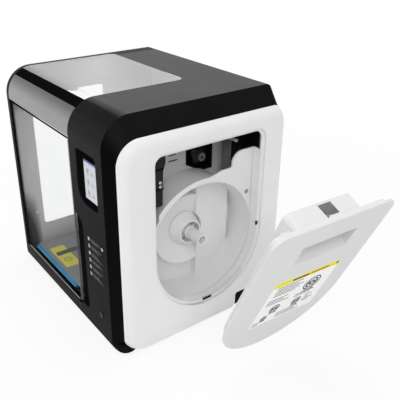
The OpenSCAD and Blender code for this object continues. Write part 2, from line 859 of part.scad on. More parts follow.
module idler_lever() {
  color("#d8d8d8") placed() difference() {
    union() {
      along_x(lever_x, lever_x + lever_t) hull() {
        circle_at(lever_at, 5, $fn = 32);
        circle_at(roller_at, 4.5, $fn = 32);
      }
      rod_x(gear_x + 0.4, lever_x + 1, roller_at, pin_r);
    }
    rod_x(lever_x - 1, lever_x + lever_t + 1, lever_at, pin_r + slide_clear);
  }
}

module idler_roller() {
  color("#c4c4c4") placed() difference() {
    rod_x(gear_x + 0.4, gear_x + gear_w, roller_at, roller_r);
    rod_x(gear_x - 1, gear_x + gear_w + 1, roller_at, pin_r + slide_clear);
  }
}

// Electronics

module power_supply() {
  slots = 10;
  pitch = supply_size.x / (slots + 1);
  lo = [hatch_y - supply_size.x / 2, floor_z];
  top = floor_z + supply_size.y;
  color("#a8a8a8") placed() difference() {
    block([bay_x, lo.x, floor_z], [tray_back - 4, lo.x + supply_size.x, top]);
    for (i = [1 : slots])
      block([bay_x + 5, lo.x + (i - 0.25) * pitch, top - 2],
        [tray_back - 9, lo.x + (i + 0.25) * pitch, top + 1]);
  }
}

module main_board() {
  lo = [hatch_y - board_size.x / 2, hatch_z - 32];
  edge = 8;
  sockets = 5;
  pitch = board_size.x / (sockets + 1);
  front = bay_x + 3 + board_t;
  color("#1d5f3a") placed() {
    block([bay_x + 3, lo.x, lo.y], [front, lo.x + board_size.x, lo.y + board_size.y]);
    for (y = [edge, board_size.x - edge], z = [edge, board_size.y - edge])
      rod_x(bay_x, bay_x + 3 + eps, [lo.x + y, lo.y + z], 3);
    for (i = [1 : sockets])
      block([front - eps, lo.x + (i - 0.3) * pitch, lo.y + board_size.y * 0.6],
        [front + 7, lo.x + (i + 0.3) * pitch, lo.y + board_size.y * 0.78]);
    block([front - eps, lo.x + board_size.x * 0.33, lo.y + board_size.y * 0.14],
      [front + 2.5, lo.x + board_size.x * 0.53, lo.y + board_size.y * 0.44]);
  }
}

// Mains socket with the cradle of the rocker above it
module power_inlet() {
  cheek = rocker_size / 2 + [3, 2];
  cradle_y = rear_in - shell_wall - seam;
  color("#141414") placed() difference() {
    union() {
      along_y(rear_in - inlet_depth, rear_in - seam)
        rounded(inlet_at - inlet_size / 2 + [seam, seam], inlet_at + inlet_size / 2 - [seam, seam],
          [3, 3, 3, 3]);
      block([inlet_at.x - cheek.x, rear_in - inlet_depth, inlet_at.y],
        [inlet_at.x + cheek.x, cradle_y, rocker_at.y + cheek.y]);
    }
    along_y(rear_in - inlet_depth + 4, rear_in + 1)
      rounded(inlet_at - inlet_size / 2 + [2, 2], inlet_at + inlet_size / 2 - [2, 2], [2, 2, 2, 2]);
    block([rocker_at.x - rocker_size.x / 2, rear_in - inlet_depth + 2, rocker_at.y - rocker_size.y / 2],
      [rocker_at.x + rocker_size.x / 2, rear_in + 1, rocker_at.y + rocker_size.y / 2]);
    rod_x(rocker_at.x - cheek.x - 1, rocker_at.x + cheek.x + 1, [rocker_y, rocker_at.y],
      rocker_pin_r + slide_clear);
  }
}

module power_rocker() {
  half = rocker_size / 2 - [1, 1.4];
  color("#191919") placed() translate([0, rocker_y, rocker_at.y]) rotate([-rocker_tilt, 0, 0]) {
    along_x(rocker_at.x - half.x, rocker_at.x + half.x)
      polygon([[-3, 1 - half.y], [6.5, -half.y], [5, 0], [6.5, half.y], [-3, half.y - 1]]);
    rod_x(rocker_at.x - half.x - 3, rocker_at.x + half.x + 3, [0, 0], rocker_pin_r);
  }
}

// Bed axis

module y_rods() {
  color("#c9ccd0") placed() for (x = rod_xs) rod_y(bracket_y0, bracket_y1 + bracket_t, [x, rod_z], rod_r);
}

module y_rod_brackets() {
  idler_x = y_belt_x - pulley_w / 2 - 0.6;
  color("#4a4a4a") placed() difference() {
    union() {
      for (x = rod_xs, y = [bracket_y0, bracket_y1])
        block([x - 10, y, floor_z], [x + 10, y + bracket_t, rod_z + 7]);
      block([idler_x - 6, y_idler_y - 6, floor_z], [idler_x, y_idler_y + 6, rod_z + 4]);
      rod_x(idler_x - eps, y_belt_x + pulley_w / 2 + 1, [y_idler_y, rod_z], pin_r);
    }
    y_rod_holes(0);
  }
}

module y_rod_holes(clear) {
  for (x = rod_xs) rod_y(y_f, y_b, [x, rod_z], rod_r + clear);
}

module y_motor() {
  color("#3a3a3a") placed() {
    block([y_motor_x, y_motor_y - small_motor_w / 2, floor_z],
      [y_motor_x + small_motor_w, y_motor_y + small_motor_w / 2, floor_z + small_motor_w]);
    rod_x(y_belt_x - 4, y_motor_x, [y_motor_y, rod_z], shaft_r);
  }
}

module y_pulley() {
  color("#c9ccd0") placed() difference() {
    rod_x(y_belt_x - pulley_w / 2, y_belt_x + pulley_w / 2, [y_motor_y, rod_z], pulley_r);
    rod_x(y_belt_x - pulley_w, y_belt_x + pulley_w, [y_motor_y, rod_z], shaft_r + slide_clear);
  }
}

module y_idler() {
  color("#c9ccd0") placed() difference() {
    rod_x(y_belt_x - pulley_w / 2, y_belt_x + pulley_w / 2, [y_idler_y, rod_z], pulley_r);
    rod_x(y_belt_x - pulley_w, y_belt_x + pulley_w, [y_idler_y, rod_z], pin_r + slide_clear);
  }
}

// Belt loop round two wheels, drawn flat with its wheels on the first axis
module belt_outline(a, b, r) {
  difference() {
    belt_solid(a, b, r + belt_t);
    belt_solid(a, b, r);
  }
}

module belt_solid(a, b, r) {
  circle_at(a, r);
  circle_at(b, r);
  translate([a.x, a.y - r]) square([b.x - a.x, 2 * r]);
}

module y_belt() {
  color("#181818") placed() along_x(y_belt_x - belt_w / 2, y_belt_x + belt_w / 2)
    belt_outline([y_idler_y, rod_z], [y_motor_y, rod_z], belt_r);
}

module bed_carriage() {
  belt_z = rod_z + belt_r;
  color("#7d8084") placed() difference() {
    union() {
      block([rod_xs[0] - 14, carrier_y0, carrier_z], [rod_xs[1] + 14, carrier_y1, carrier_z + carrier_t]);
      for (x = rod_xs, y = [carrier_y0 + 4, carrier_y1 - slide_len - 4])
        block([x - slide_w / 2, y, floor_z + 1], [x + slide_w / 2, y + slide_len, carrier_z + eps]);
      for (x = rod_xs, y = [carrier_y0 + 10, carrier_y1 - 10])
        rod_z(carrier_z + carrier_t - eps, carrier_z + carrier_t + standoff_h, [x, y], 4);
      block([rod_xs[1] + 13, clamp_y, carrier_z],
        [y_belt_x + belt_w, clamp_y + clamp_len, carrier_z + carrier_t]);
      block([y_belt_x - belt_w, clamp_y, belt_z - 3],
        [y_belt_x + belt_w, clamp_y + clamp_len, carrier_z + eps]);
    }
    y_rod_holes(slide_clear);
    block([y_belt_x - belt_w / 2 - belt_gap, clamp_y - 1, belt_z - belt_gap],
      [y_belt_x + belt_w + 1, clamp_y + clamp_len + 1, belt_z + belt_t + belt_gap]);
  }
}

module heated_bed() {
  color("#55585c") placed() block([bed_x - plate_w / 2 + 4, plate_y0 + 4, carrier_z + carrier_t + standoff_h],
    [bed_x + plate_w / 2 - 4, plate_y0 + plate_d - 4, bed_z - plate_t]);
}

module build_plate() {
  color("#86888a") placed() translate([0, 0, bed_z - plate_t]) linear_extrude(plate_t)
    rounded([bed_x - plate_w / 2, plate_y0], [bed_x + plate_w / 2, plate_y0 + plate_d], [6, 6, 6, 6]);
}

module plate_grip() {
  color("#2f86b5") placed() translate([0, 0, bed_z - plate_t]) linear_extrude(plate_t)
    rounded([bed_x - plate_w / 2 + 6, plate_y0 - grip_w], [bed_x + plate_w / 2 - 6, plate_y0],
      [2, 2, 0.5, 0.5]);
}

// Lift axis

module z_rods() {
  color("#c9ccd0") placed() for (at = [z_rod_l, z_rod_r]) rod_z(floor_z, z_top, at, rod_r);
}

module z_top_brackets() {
  color("#4a4a4a") placed() difference() {
    union() {
      block([z_rod_r.x - 8, gantry_y + 8, z_top - 10], [part_x, z_screw.y + 8, z_top]);
      block([liner_x + liner_t, gantry_y + 8, z_top - 10], [z_rod_l.x + 8, z_rod_l.y + 10, z_top]);
    }
    for (at = [z_rod_l, z_rod_r]) rod_z(0, z_t, at, rod_r);
    rod_z(0, z_t, z_screw, screw_r + slide_clear);
  }
}

module z_motor() {
  color("#3a3a3a") placed() difference() {
    block([z_screw.x - motor_w / 2, z_screw.y - motor_w / 2 + 8, floor_z],
      [z_screw.x + motor_w / 2, z_screw.y + motor_w / 2 + 8, z_motor_top]);
    rod_z(z_motor_top - 6, z_motor_top + 1, z_screw, screw_r + slide_clear);
    rod_z(floor_z - 1, z_motor_top + 1, z_rod_r, rod_r + 1);
  }
}

module lead_screw() {
  color("#b9bcc0") placed() rod_z(z_motor_top - 5, z_top - 1, z_screw, screw_r);
}

module gantry_right() {
  color("#3c3f42") placed() difference() {
    union() {
      block([right_x0, gantry_y - 16, gantry_z], [right_x1, z_screw.y + 10, gantry_z + end_base]);
      block([right_x0, gantry_y - 8, gantry_z + end_base - eps],
        [right_x0 + end_wall, gantry_y + end_depth, column_top]);
      block([z_rod_r.x - 6, z_rod_r.y - 8, gantry_z], [z_rod_r.x + 7, z_screw.y + 8, gantry_z + end_h]);
      rod_z(gantry_z, gantry_z + 20, z_screw, 9);
    }
    for (z = cross_z) rod_x(right_x0 - 1, right_x0 + rod_seat, [gantry_y, z], cross_rod_r);
    rod_z(0, z_t, z_rod_r, rod_r + slide_clear);
    rod_z(0, z_t, z_screw, screw_r + slide_clear);
  }
}

module gantry_left() {
  color("#3c3f42") placed() difference() {
    union() {
      block([left_x0, gantry_y - 8, gantry_z], [left_x1, z_rod_l.y + 9, gantry_z + end_base]);
      block([left_x1 - end_wall, gantry_y - 8, gantry_z + end_base - eps],
        [left_x1, gantry_y + end_depth, column_top]);
      block([z_rod_l.x - 8, z_rod_l.y - 8, gantry_z], [left_x1 - 1, z_rod_l.y + 8, gantry_z + end_h - 6]);
      rod_z(gantry_z, column_top, x_idler_at, pin_r + 1);
      rod_z(gantry_z, x_belt_z + belt_w + 1.5, x_idler_at, pin_r);
    }
    for (z = cross_z) rod_x(left_x1 - rod_seat, left_x1 + 1, [gantry_y, z], cross_rod_r);
    rod_z(0, z_t, z_rod_l, rod_r + slide_clear);
  }
}

module x_rods() {
  color("#c9ccd0") placed() for (z = cross_z)
    rod_x(left_x1 - rod_seat, right_x0 + rod_seat, [gantry_y, z], cross_rod_r);
}

module x_motor() {
  color("#3a3a3a") placed() {
    translate([x_motor_at.x, x_motor_at.y, gantry_z + end_base]) linear_extrude(x_motor_h)
      rounded([-x_motor_half, -14], [x_motor_half, 14], [2, 2, 2, 2]);
    rod_z(gantry_z + end_base + x_motor_h - eps, x_belt_z + belt_w, x_motor_at, shaft_r);
  }
}

module x_pulley() {
  color("#c9ccd0") placed() difference() {
    rod_z(x_belt_z - 1, x_belt_z + belt_w + 1, x_motor_at, pulley_r);
    rod_z(0, z_t, x_motor_at, shaft_r + slide_clear);
  }
}

module x_idler() {
  color("#c9ccd0") placed() difference() {
    rod_z(x_belt_z - 0.7, x_belt_z + belt_w + 1, x_idler_at, pulley_r);
    rod_z(0, z_t, x_idler_at, pin_r + slide_clear);
  }
}

module x_belt() {
  color("#181818") placed() translate([0, 0, x_belt_z]) linear_extrude(belt_w)
    belt_outline(x_idler_at, x_motor_at, belt_r);
}

// Print head

module head_carriage() {
  belt_y = gantry_y - belt_r;
  color("#2a2c2e") placed() difference() {
    union() {
      block([bed_x - head_w / 2, gantry_y - head_front, gantry_z + 4],
        [bed_x + head_w / 2, gantry_y + head_back, gantry_z + head_h]);
      block([bed_x - clamp_half, belt_y - 6, x_belt_z - 0.6],
        [bed_x + clamp_half, belt_y + 3, x_belt_z + belt_w + 3]);
    }
    for (z = cross_z) rod_x(bed_x - head_w, bed_x + head_w, [gantry_y, z], cross_rod_r + slide_clear);
    block([bed_x - head_w, belt_y - belt_t - belt_gap, x_belt_z - belt_gap],
      [bed_x + head_w, belt_y + 20, x_belt_z + belt_w + belt_gap]);
  }
}

module heat_sink() {
  color("#b4b7ba") placed() translate([bed_x, nozzle_y, 0]) {
    rod_z(nozzle_z + 16, gantry_z + 38, [0, 0], 5);
    for (i = [0 : 5]) rod_z(gantry_z + 12 + i * 4.4, gantry_z + 14 + i * 4.4, [0, 0], 10);
    block([-8, -8, nozzle_z + 8], [8, 8, nozzle_z + 18]);
    block([-6, 4, gantry_z + 12], [6, gantry_y - head_front - nozzle_y, gantry_z + 36]);
  }
}

module nozzle() {
  color("#c8a24a") placed() translate([bed_x, nozzle_y, nozzle_z]) {
    cylinder(h = 5, r1 = 0.8, r2 = 3.5);
    translate([0, 0, 5]) cylinder(h = 3, r = 4);
  }
}

module fan_shroud() {
  half = fan_w / 2;
  back = shroud_y + fan_t;
  color("#1c1c1c") placed() {
    difference() {
      block([bed_x - half - 2, shroud_y, fan_z - half - 2],
        [bed_x + half + 2, gantry_y - head_front, fan_z + half + 2]);
      block([bed_x - half, back, gantry_z], [bed_x + half, gantry_y - 9, fan_z + half]);
      rod_y(shroud_y - 1, back + 1, [bed_x, fan_z], half - 1);
    }
    block([bed_x - half - 1, back, fan_z - 1.5], [bed_x + half + 1, back + 1.5, fan_z + 1.5]);
    rod_y(shroud_y + 2, back + 1.5, [bed_x, fan_z], fan_pin_r);
  }
}

module head_fan() {
  blades = 7;
  color("#2c2c2c") placed() difference() {
    union() {
      rod_y(shroud_y + 1, shroud_y + fan_t - 1, [bed_x, fan_z], 6);
      for (i = [0 : blades - 1])
        translate([bed_x, shroud_y + fan_t / 2, fan_z]) rotate([0, i * 360 / blades, 0]) rotate([35, 0, 0])
          translate([4, -0.6, -3]) cube([9, 1.2, 6]);
    }
    rod_y(shroud_y + 1.7, shroud_y + fan_t, [bed_x, fan_z], fan_pin_r + slide_clear);
  }
}

module panel_screws() {
  color("#8c8f92") placed() {
    for (x = [open_l + 2, hoop_x - rear_margin + 4],
      z = [z_b + rear_margin + 20, z_t / 2, z_t - rear_margin - 20])
      rod_y(rear_in - shell_wall - screw_head_h, rear_in - shell_wall, [x, z], screw_head_r);
    for (z = [hatch_z + 126, hatch_z + 133])
      rod_x(collar_x, collar_x + 1, [bracket_edge - 10.5, z], screw_head_r - 0.8);
    for (y = [y_f + 30, y_f + 238], z = [z_b + 90, z_b + 200, z_b + 310])
      rod_x(liner_x + liner_t, liner_x + liner_t + screw_head_h, [y, z], screw_head_r);
  }
}

outer_hoop();
side_ring();
right_panel();
left_panel();
left_liner();
left_window();
top_window();
front_beam();
top_bar();
finger_recess();
screen_bezel();
touch_screen();
front_button();
rear_panel();
chamber_floor();
feet();
partition_wall();
front_door();
spool_tray();
feed_wall();
hatch_bracket();
spool_axle();
spool_hub();
filament_cover();
feeder_housing();
feeder_motor();
drive_gear();
idler_lever();
idler_roller();
power_supply();
main_board();
power_inlet();
power_rocker();
y_rods();
y_rod_brackets();
y_motor();
y_pulley();
y_idler();
y_belt();
bed_carriage();
heated_bed();
build_plate();
plate_grip();
z_rods();
z_top_brackets();
z_motor();
lead_screw();
gantry_right();
gantry_left();
x_rods();
x_motor();
x_pulley();
x_idler();
x_belt();
head_carriage();
heat_sink();
nozzle();
fan_shroud();
head_fan();
panel_screws();
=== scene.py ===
"""Looks of the enclosed filament printer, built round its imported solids."""
import json
import math
import bmesh
import bpy
from mathutils import Matrix, Vector


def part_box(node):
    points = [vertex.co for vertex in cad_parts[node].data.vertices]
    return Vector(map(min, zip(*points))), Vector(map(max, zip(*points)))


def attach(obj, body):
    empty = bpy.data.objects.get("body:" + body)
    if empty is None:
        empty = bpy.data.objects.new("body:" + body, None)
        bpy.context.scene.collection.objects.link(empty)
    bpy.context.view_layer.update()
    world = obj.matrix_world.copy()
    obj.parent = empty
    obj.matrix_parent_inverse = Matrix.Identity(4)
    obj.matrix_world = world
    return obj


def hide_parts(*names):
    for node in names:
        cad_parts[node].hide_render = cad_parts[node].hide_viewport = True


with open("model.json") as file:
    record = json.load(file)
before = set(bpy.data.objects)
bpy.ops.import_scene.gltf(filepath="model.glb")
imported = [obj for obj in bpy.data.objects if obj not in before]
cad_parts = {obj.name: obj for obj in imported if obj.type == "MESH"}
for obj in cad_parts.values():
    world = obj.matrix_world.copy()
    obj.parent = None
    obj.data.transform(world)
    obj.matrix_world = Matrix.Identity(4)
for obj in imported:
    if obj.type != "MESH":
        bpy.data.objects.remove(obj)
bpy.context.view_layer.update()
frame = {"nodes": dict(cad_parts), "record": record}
NODES = frame["nodes"]
RECORD = frame["record"]
SLOT_OF = {row["node"]: row["material_slot"] for row in RECORD["subparts"]}
BODY_OF = {node: body for body, members in RECORD["behaviour"]["bodies"].items() for node in members}
JOINT_OF = {joint["name"]: joint for joint in RECORD["behaviour"]["joints"]}
scene = bpy.context.scene

# Places are written in millimetres from the middle of the casing, and become metres of the frame
MM = 0.001
AXES = "XYZ"
casing_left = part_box("outer_hoop")[0].x
casing_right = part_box("right_panel")[1].x
FRAME_ORIGIN = Vector((-(casing_left + casing_right) / 2 / MM, 0.0, 0.0))


def to_frame(place):
    return (Vector(place) - FRAME_ORIGIN) * MM


def from_frame(point):
    return Vector(point) / MM + FRAME_ORIGIN


def box(node):
    """Low and high corner of a solid."""
    low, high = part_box(node)
    return from_frame(low), from_frame(high)


hoop_low, hoop_high = box("outer_hoop")
door_low, door_high = box("front_door")
screen_low, screen_high = box("touch_screen")
plate_top = box("build_plate")[1].z
side_x = box("right_panel")[1].x
rim_x = box("spool_tray")[1].x
bracket_x = box("hatch_bracket")[1].x
bay_x = box("partition_wall")[1].x
beam_low = box("front_beam")[0]

# Materials
MATS = {}
TONE_LOW = 0.3
TONE_HIGH = 0.7
CLOUD_SCALE = 14.0
HAZE_SCALE = 30.0
DOT_SCALE = 2500.0
DULL = 0.97
LEAST_ROUGH = 0.02
RELIEF_DEPTH = 0.0002


def new_material(name):
    mat = bpy.data.materials.new(name)
    mat.use_nodes = True
    MATS[name] = mat
    nodes = mat.node_tree.nodes
    return nodes, mat.node_tree.links, nodes["Principled BSDF"]


def noise(nodes, links, scale, detail, rough, stretch=(1, 1, 1)):
    coord = nodes.new("ShaderNodeTexCoord")
    mapping = nodes.new("ShaderNodeMapping")
    mapping.inputs["Scale"].default_value = stretch
    tex = nodes.new("ShaderNodeTexNoise")
    tex.inputs["Scale"].default_value = scale
    tex.inputs["Detail"].default_value = detail
    tex.inputs["Roughness"].default_value = rough
    links.new(coord.outputs["Object"], mapping.inputs["Vector"])
    links.new(mapping.outputs["Vector"], tex.inputs["Vector"])
    return tex.outputs["Fac"]


def ramp(nodes, links, source, stops):
    node = nodes.new("ShaderNodeValToRGB")
    while len(node.color_ramp.elements) < len(stops):
        node.color_ramp.elements.new(0.5)
    for element, (place, colour) in zip(node.color_ramp.elements, stops):
        element.position = place
        element.color = (*colour, 1.0)
    links.new(source, node.inputs["Fac"])
    return node.outputs["Color"]


def shade(colour, level):
    return tuple(min(1.0, c * level) for c in colour)


def uneven_gloss(nodes, links, bsdf, source, low, high):
    gloss = nodes.new("ShaderNodeMapRange")
    gloss.inputs["To Min"].default_value = low
    gloss.inputs["To Max"].default_value = high
    links.new(source, gloss.inputs["Value"])
    links.new(gloss.outputs["Result"], bsdf.inputs["Roughness"])


def grained(name, colour, rough, vary, grain, bump, specular=0.5, metal=0.0, spread=0.06,
            stretch=(1, 1, 1)):
    """Moulded, painted or ground surface: slow tone changes, fine grain and uneven gloss."""
    nodes, links, bsdf = new_material(name)
    clouds = noise(nodes, links, CLOUD_SCALE, 4.0, 0.55)
    tones = [(TONE_LOW, shade(colour, 1 - vary)), (TONE_HIGH, shade(colour, 1 + vary))]
    links.new(ramp(nodes, links, clouds, tones), bsdf.inputs["Base Color"])
    fine = noise(nodes, links, grain, 2.0, 0.6, stretch)
    uneven_gloss(nodes, links, bsdf, fine, max(LEAST_ROUGH, rough - spread), min(1.0, rough + spread))
    relief = nodes.new("ShaderNodeBump")
    relief.inputs["Strength"].default_value = bump
    relief.inputs["Distance"].default_value = RELIEF_DEPTH
    links.new(fine, relief.inputs["Height"])
    links.new(relief.outputs["Normal"], bsdf.inputs["Normal"])
    bsdf.inputs["Metallic"].default_value = metal
    bsdf.inputs["Specular IOR Level"].default_value = specular


def clear_pane(name, tint, rough, ior):
    """Clear moulded pane with faint haze."""
    nodes, links, bsdf = new_material(name)
    haze = noise(nodes, links, HAZE_SCALE, 3.0, 0.5)
    tone = ramp(nodes, links, haze, [(0.2, shade(tint, DULL)), (0.8, tint)])
    links.new(tone, bsdf.inputs["Base Color"])
    uneven_gloss(nodes, links, bsdf, haze, rough * 0.5, rough * 1.5)
    bsdf.inputs["Transmission Weight"].default_value = 1.0
    bsdf.inputs["IOR"].default_value = ior
    bsdf.inputs["Specular IOR Level"].default_value = 0.3


def lit(name, colour, strength):
    """Display surface that glows a little."""
    nodes, links, bsdf = new_material(name)
    dots = noise(nodes, links, DOT_SCALE, 1.0, 0.5)
    tone = ramp(nodes, links, dots, [(TONE_LOW, shade(colour, DULL)), (TONE_HIGH, colour)])
    links.new(tone, bsdf.inputs["Base Color"])
    links.new(tone, bsdf.inputs["Emission Color"])
    bsdf.inputs["Emission Strength"].default_value = strength
    bsdf.inputs["Roughness"].default_value = 0.2


# Casing
grained("hoop_black", (0.10, 0.10, 0.102), rough=0.36, vary=0.1, grain=1400.0, bump=0.08, specular=0.018)
grained("ring_black", (0.0075, 0.0075, 0.0076), rough=0.36, vary=0.1, grain=1400.0, bump=0.05,
        specular=0.025)
grained("panel_white", (0.86, 0.86, 0.86), rough=0.34, vary=0.012, grain=900.0, bump=0.03, specular=0.35)
grained("rear_white", (0.86, 0.86, 0.86), rough=0.34, vary=0.012, grain=900.0, bump=0.03, specular=0.35)
grained("cover_grey", (0.74, 0.74, 0.743), rough=0.42, vary=0.012, grain=1100.0, bump=0.05, specular=0.3)
grained("tray_grey", (0.80, 0.80, 0.803), rough=0.48, vary=0.015, grain=1100.0, bump=0.05, specular=0.3)
grained("wall_grey", (0.70, 0.70, 0.703), rough=0.5, vary=0.03, grain=1400.0, bump=0.08, specular=0.3)
grained("liner_side", (0.98, 0.98, 0.985), rough=0.55, vary=0.04, grain=1600.0, bump=0.12, specular=0.3)
grained("floor_grey", (0.30, 0.305, 0.31), rough=0.5, vary=0.04, grain=1800.0, bump=0.14, specular=0.3)
grained("beam_grey", (0.27, 0.27, 0.273), rough=0.3, vary=0.03, grain=1000.0, bump=0.04, specular=0.3)
grained("gloss_black", (0.004, 0.004, 0.0042), rough=0.14, vary=0.1, grain=700.0, bump=0.01,
        specular=0.0, spread=0.04)
grained("rubber", (0.02, 0.02, 0.02), rough=0.8, vary=0.15, grain=1200.0, bump=0.25, specular=0.2)
# Colours of the painted highlights on the door's edge at the finger recess and along its lower edge
grained("side_highlight_grey", (0.13, 0.132, 0.132), rough=0.3, vary=0.03, grain=1400.0, bump=0.04, specular=0.3)
grained("lower_highlight_grey", (0.34, 0.345, 0.345), rough=0.3, vary=0.03, grain=1400.0, bump=0.04, specular=0.3)
grained("shade_grey", (0.30, 0.30, 0.303), rough=0.6, vary=0.03, grain=1400.0, bump=0.05, specular=0.2)
clear_pane("clear", (0.968, 0.972, 0.972), rough=0.01, ior=1.02)
clear_pane("top_pane", (0.985, 0.99, 0.99), rough=0.015, ior=1.38)

# Works
grained("dark_plastic", (0.008, 0.008, 0.0085), rough=0.5, vary=0.12, grain=1200.0, bump=0.12, specular=0.2)
grained("motor", (0.03, 0.03, 0.033), rough=0.45, vary=0.12, grain=1500.0, bump=0.1, metal=0.3)
grained("steel", (0.56, 0.57, 0.58), rough=0.25, vary=0.04, grain=2200.0, bump=0.05,
        metal=1.0, stretch=(1, 1, 0.05))
grained("brass", (0.58, 0.40, 0.13), rough=0.3, vary=0.06, grain=1800.0, bump=0.06, metal=1.0)
grained("aluminium", (0.52, 0.53, 0.54), rough=0.4, vary=0.05, grain=1800.0, bump=0.08, metal=0.9)
grained("board_green", (0.02, 0.11, 0.05), rough=0.4, vary=0.15, grain=600.0, bump=0.08)
grained("plate_grey", (0.24, 0.243, 0.247), rough=0.6, vary=0.05, grain=1500.0, bump=0.2, specular=0.3)
grained("blue", (0.014, 0.24, 0.46), rough=0.45, vary=0.06, grain=1000.0, bump=0.08, specular=0.3)
grained("belt", (0.012, 0.012, 0.012), rough=0.75, vary=0.2, grain=900.0, bump=0.3, specular=0.2)
grained("screw_light", (0.80, 0.80, 0.80), rough=0.4, vary=0.03, grain=1500.0, bump=0.05, metal=0.3)
grained("knob", (0.30, 0.30, 0.305), rough=0.4, vary=0.05, grain=1200.0, bump=0.06, specular=0.3)
grained("gear_dark", (0.10, 0.10, 0.10), rough=0.4, vary=0.1, grain=1500.0, bump=0.08, metal=0.8)

# Display, sheets and marks
lit("screen", (0.53, 0.55, 0.58), strength=0.15)
lit("screen_header", (0.08, 0.08, 0.33), strength=0.25)
lit("screen_tile", (0.22, 0.235, 0.26), strength=0.12)
grained("yellow_sheet", (0.62, 0.58, 0.08), rough=0.5, vary=0.03, grain=900.0, bump=0.04, specular=0.3)
grained("dark_strip", (0.085, 0.085, 0.083), rough=0.5, vary=0.1, grain=900.0, bump=0.04, specular=0.3)
grained("label_white", (0.98, 0.98, 0.975), rough=0.45, vary=0.01, grain=900.0, bump=0.02, specular=0.3)
grained("label_yellow", (0.88, 0.80, 0.005), rough=0.45, vary=0.02, grain=900.0, bump=0.02, specular=0.05)
grained("ink", (0.03, 0.03, 0.032), rough=0.5, vary=0.2, grain=900.0, bump=0.02, specular=0.3)
grained("pale_ink", (0.50, 0.50, 0.50), rough=0.5, vary=0.05, grain=900.0, bump=0.02, specular=0.3)
grained("dim_ink", (0.12, 0.105, 0.105), rough=0.5, vary=0.1, grain=900.0, bump=0.02, specular=0.3)
grained("line_ink", (0.02, 0.02, 0.021), rough=0.5, vary=0.1, grain=900.0, bump=0.02, specular=0.3)


# Painted light and shade by place and direction
def share_of(nodes, links, output, axis, low, high):
    coord = nodes.new("ShaderNodeTexCoord")
    split = nodes.new("ShaderNodeSeparateXYZ")
    share = nodes.new("ShaderNodeMapRange")
    share.inputs["From Min"].default_value = low
    share.inputs["From Max"].default_value = high
    links.new(coord.outputs[output], split.inputs[0])
    links.new(split.outputs[axis], share.inputs["Value"])
    return share.outputs["Result"]


def along(nodes, links, axis, low, high):
    """Share of the way between two places on one axis."""
    origin = FRAME_ORIGIN[AXES.index(axis)]
    return share_of(nodes, links, "Object", axis, (low - origin) * MM, (high - origin) * MM)


def facing(nodes, links, axis, low, high):
    """Share by which a face looks along one axis."""
    return share_of(nodes, links, "Normal", axis, low, high)


def shaded(name, picks, stops):
    """Paints light and shade into a material: multiplies its tone by shades, over the product of the picked
    shares.
    """
    nodes = MATS[name].node_tree.nodes
    links = MATS[name].node_tree.links
    shares = [pick(nodes, links, axis, low, high) for pick, axis, low, high in picks]
    total = shares[0]
    for share in shares[1:]:
        times = nodes.new("ShaderNodeMath")
        times.operation = "MULTIPLY"
        links.new(total, times.inputs[0])
        links.new(share, times.inputs[1])
        total = times.outputs[0]
    colour = nodes["Principled BSDF"].inputs["Base Color"]
    both = nodes.new("ShaderNodeMix")
    both.data_type = "RGBA"
    both.blend_type = "MULTIPLY"
    both.inputs["Factor"].default_value = 1.0
    links.new(colour.links[0].from_socket, both.inputs["A"])
    greys = [(place, (level, level, level)) for place, level in stops]
    links.new(ramp(nodes, links, total, greys), both.inputs["B"])
    links.new(both.outputs["Result"], colour)


# Painted light and shade on the casing, by height and by where its faces turn up: a painted sheen on the
# top of the black hoop, painted shade in its bend and towards its foot, painted shade on the up-turned
# faces of the white panel and on the sides of the ring; the beam is darker towards its top
UP = (facing, "Z", 0.0, 1.0)
HIGH = (along, "Z", 300.0, 360.0)
OFF_LEFT = (along, "X", beam_low.x, beam_low.x + 16.0)
COLUMN_Z = (along, "Z", 180.0, 360.0)
BEAM_Z = (along, "Z", beam_low.z, beam_low.z + 49.0)
HOOP_PAINTED_LIGHT_STOPS = [(0.0, 0.2), (0.6, 0.12), (0.94, 0.05), (0.992, 0.5), (1.0, 0.74)]
shaded("hoop_black", [UP, HIGH, OFF_LEFT], HOOP_PAINTED_LIGHT_STOPS)
shaded("hoop_black", [COLUMN_Z], [(0.0, 0.2), (0.6, 0.55), (1.0, 0.98)])
shaded("panel_white", [UP], [(0.0, 1.0), (0.5, 0.93), (1.0, 0.86)])
shaded("ring_black", [UP], [(0.2, 0.2), (0.6, 1.0)])
shaded("beam_grey", [BEAM_Z], [(0.0, 1.05), (0.45, 1.0), (0.8, 0.35), (1.0, 0.22)])

# Light and shade painted along the liner: darker to the front, painted shade under the top and towards its
# upper front, and a painted shadow in the lower front corner; its front edge is black like the casing's
# jamb
LINER_Y = (along, "Y", -164.0, 154.0)
LINER_Z = (along, "Z", 300.0, 385.0)
LINER_FRONT = (along, "Y", -126.0, -160.0)
LINER_LOW = (along, "Z", 155.0, 45.0)
LINER_NEAR = (along, "Y", 30.0, -100.0)
LINER_TOP = (along, "Z", 315.0, 340.0)
LINER_STOPS = [(0.0, 0.01), (0.02, 0.01), (0.03, 0.70), (0.24, 0.78), (0.62, 0.95), (1.0, 1.0)]
shaded("liner_side", [LINER_Y], LINER_STOPS)
shaded("liner_side", [LINER_Z], [(0.0, 1.0), (1.0, 0.9)])
shaded("liner_side", [LINER_FRONT, LINER_LOW], [(0.04, 1.0), (0.20, 0.45), (0.42, 0.10), (1.0, 0.02)])
shaded("liner_side", [LINER_NEAR, LINER_TOP], [(0.0, 1.0), (0.5, 0.72), (1.0, 0.38)])

# Painted shade: the rear panel is painted dark where it closes the bay of the works
IN_BAY = (along, "X", bay_x - 1.0, bay_x)
INWARD = (facing, "Y", -0.5, -0.9)
shaded("rear_white", [IN_BAY, INWARD], [(0.0, 1.0), (1.0, 0.01)])

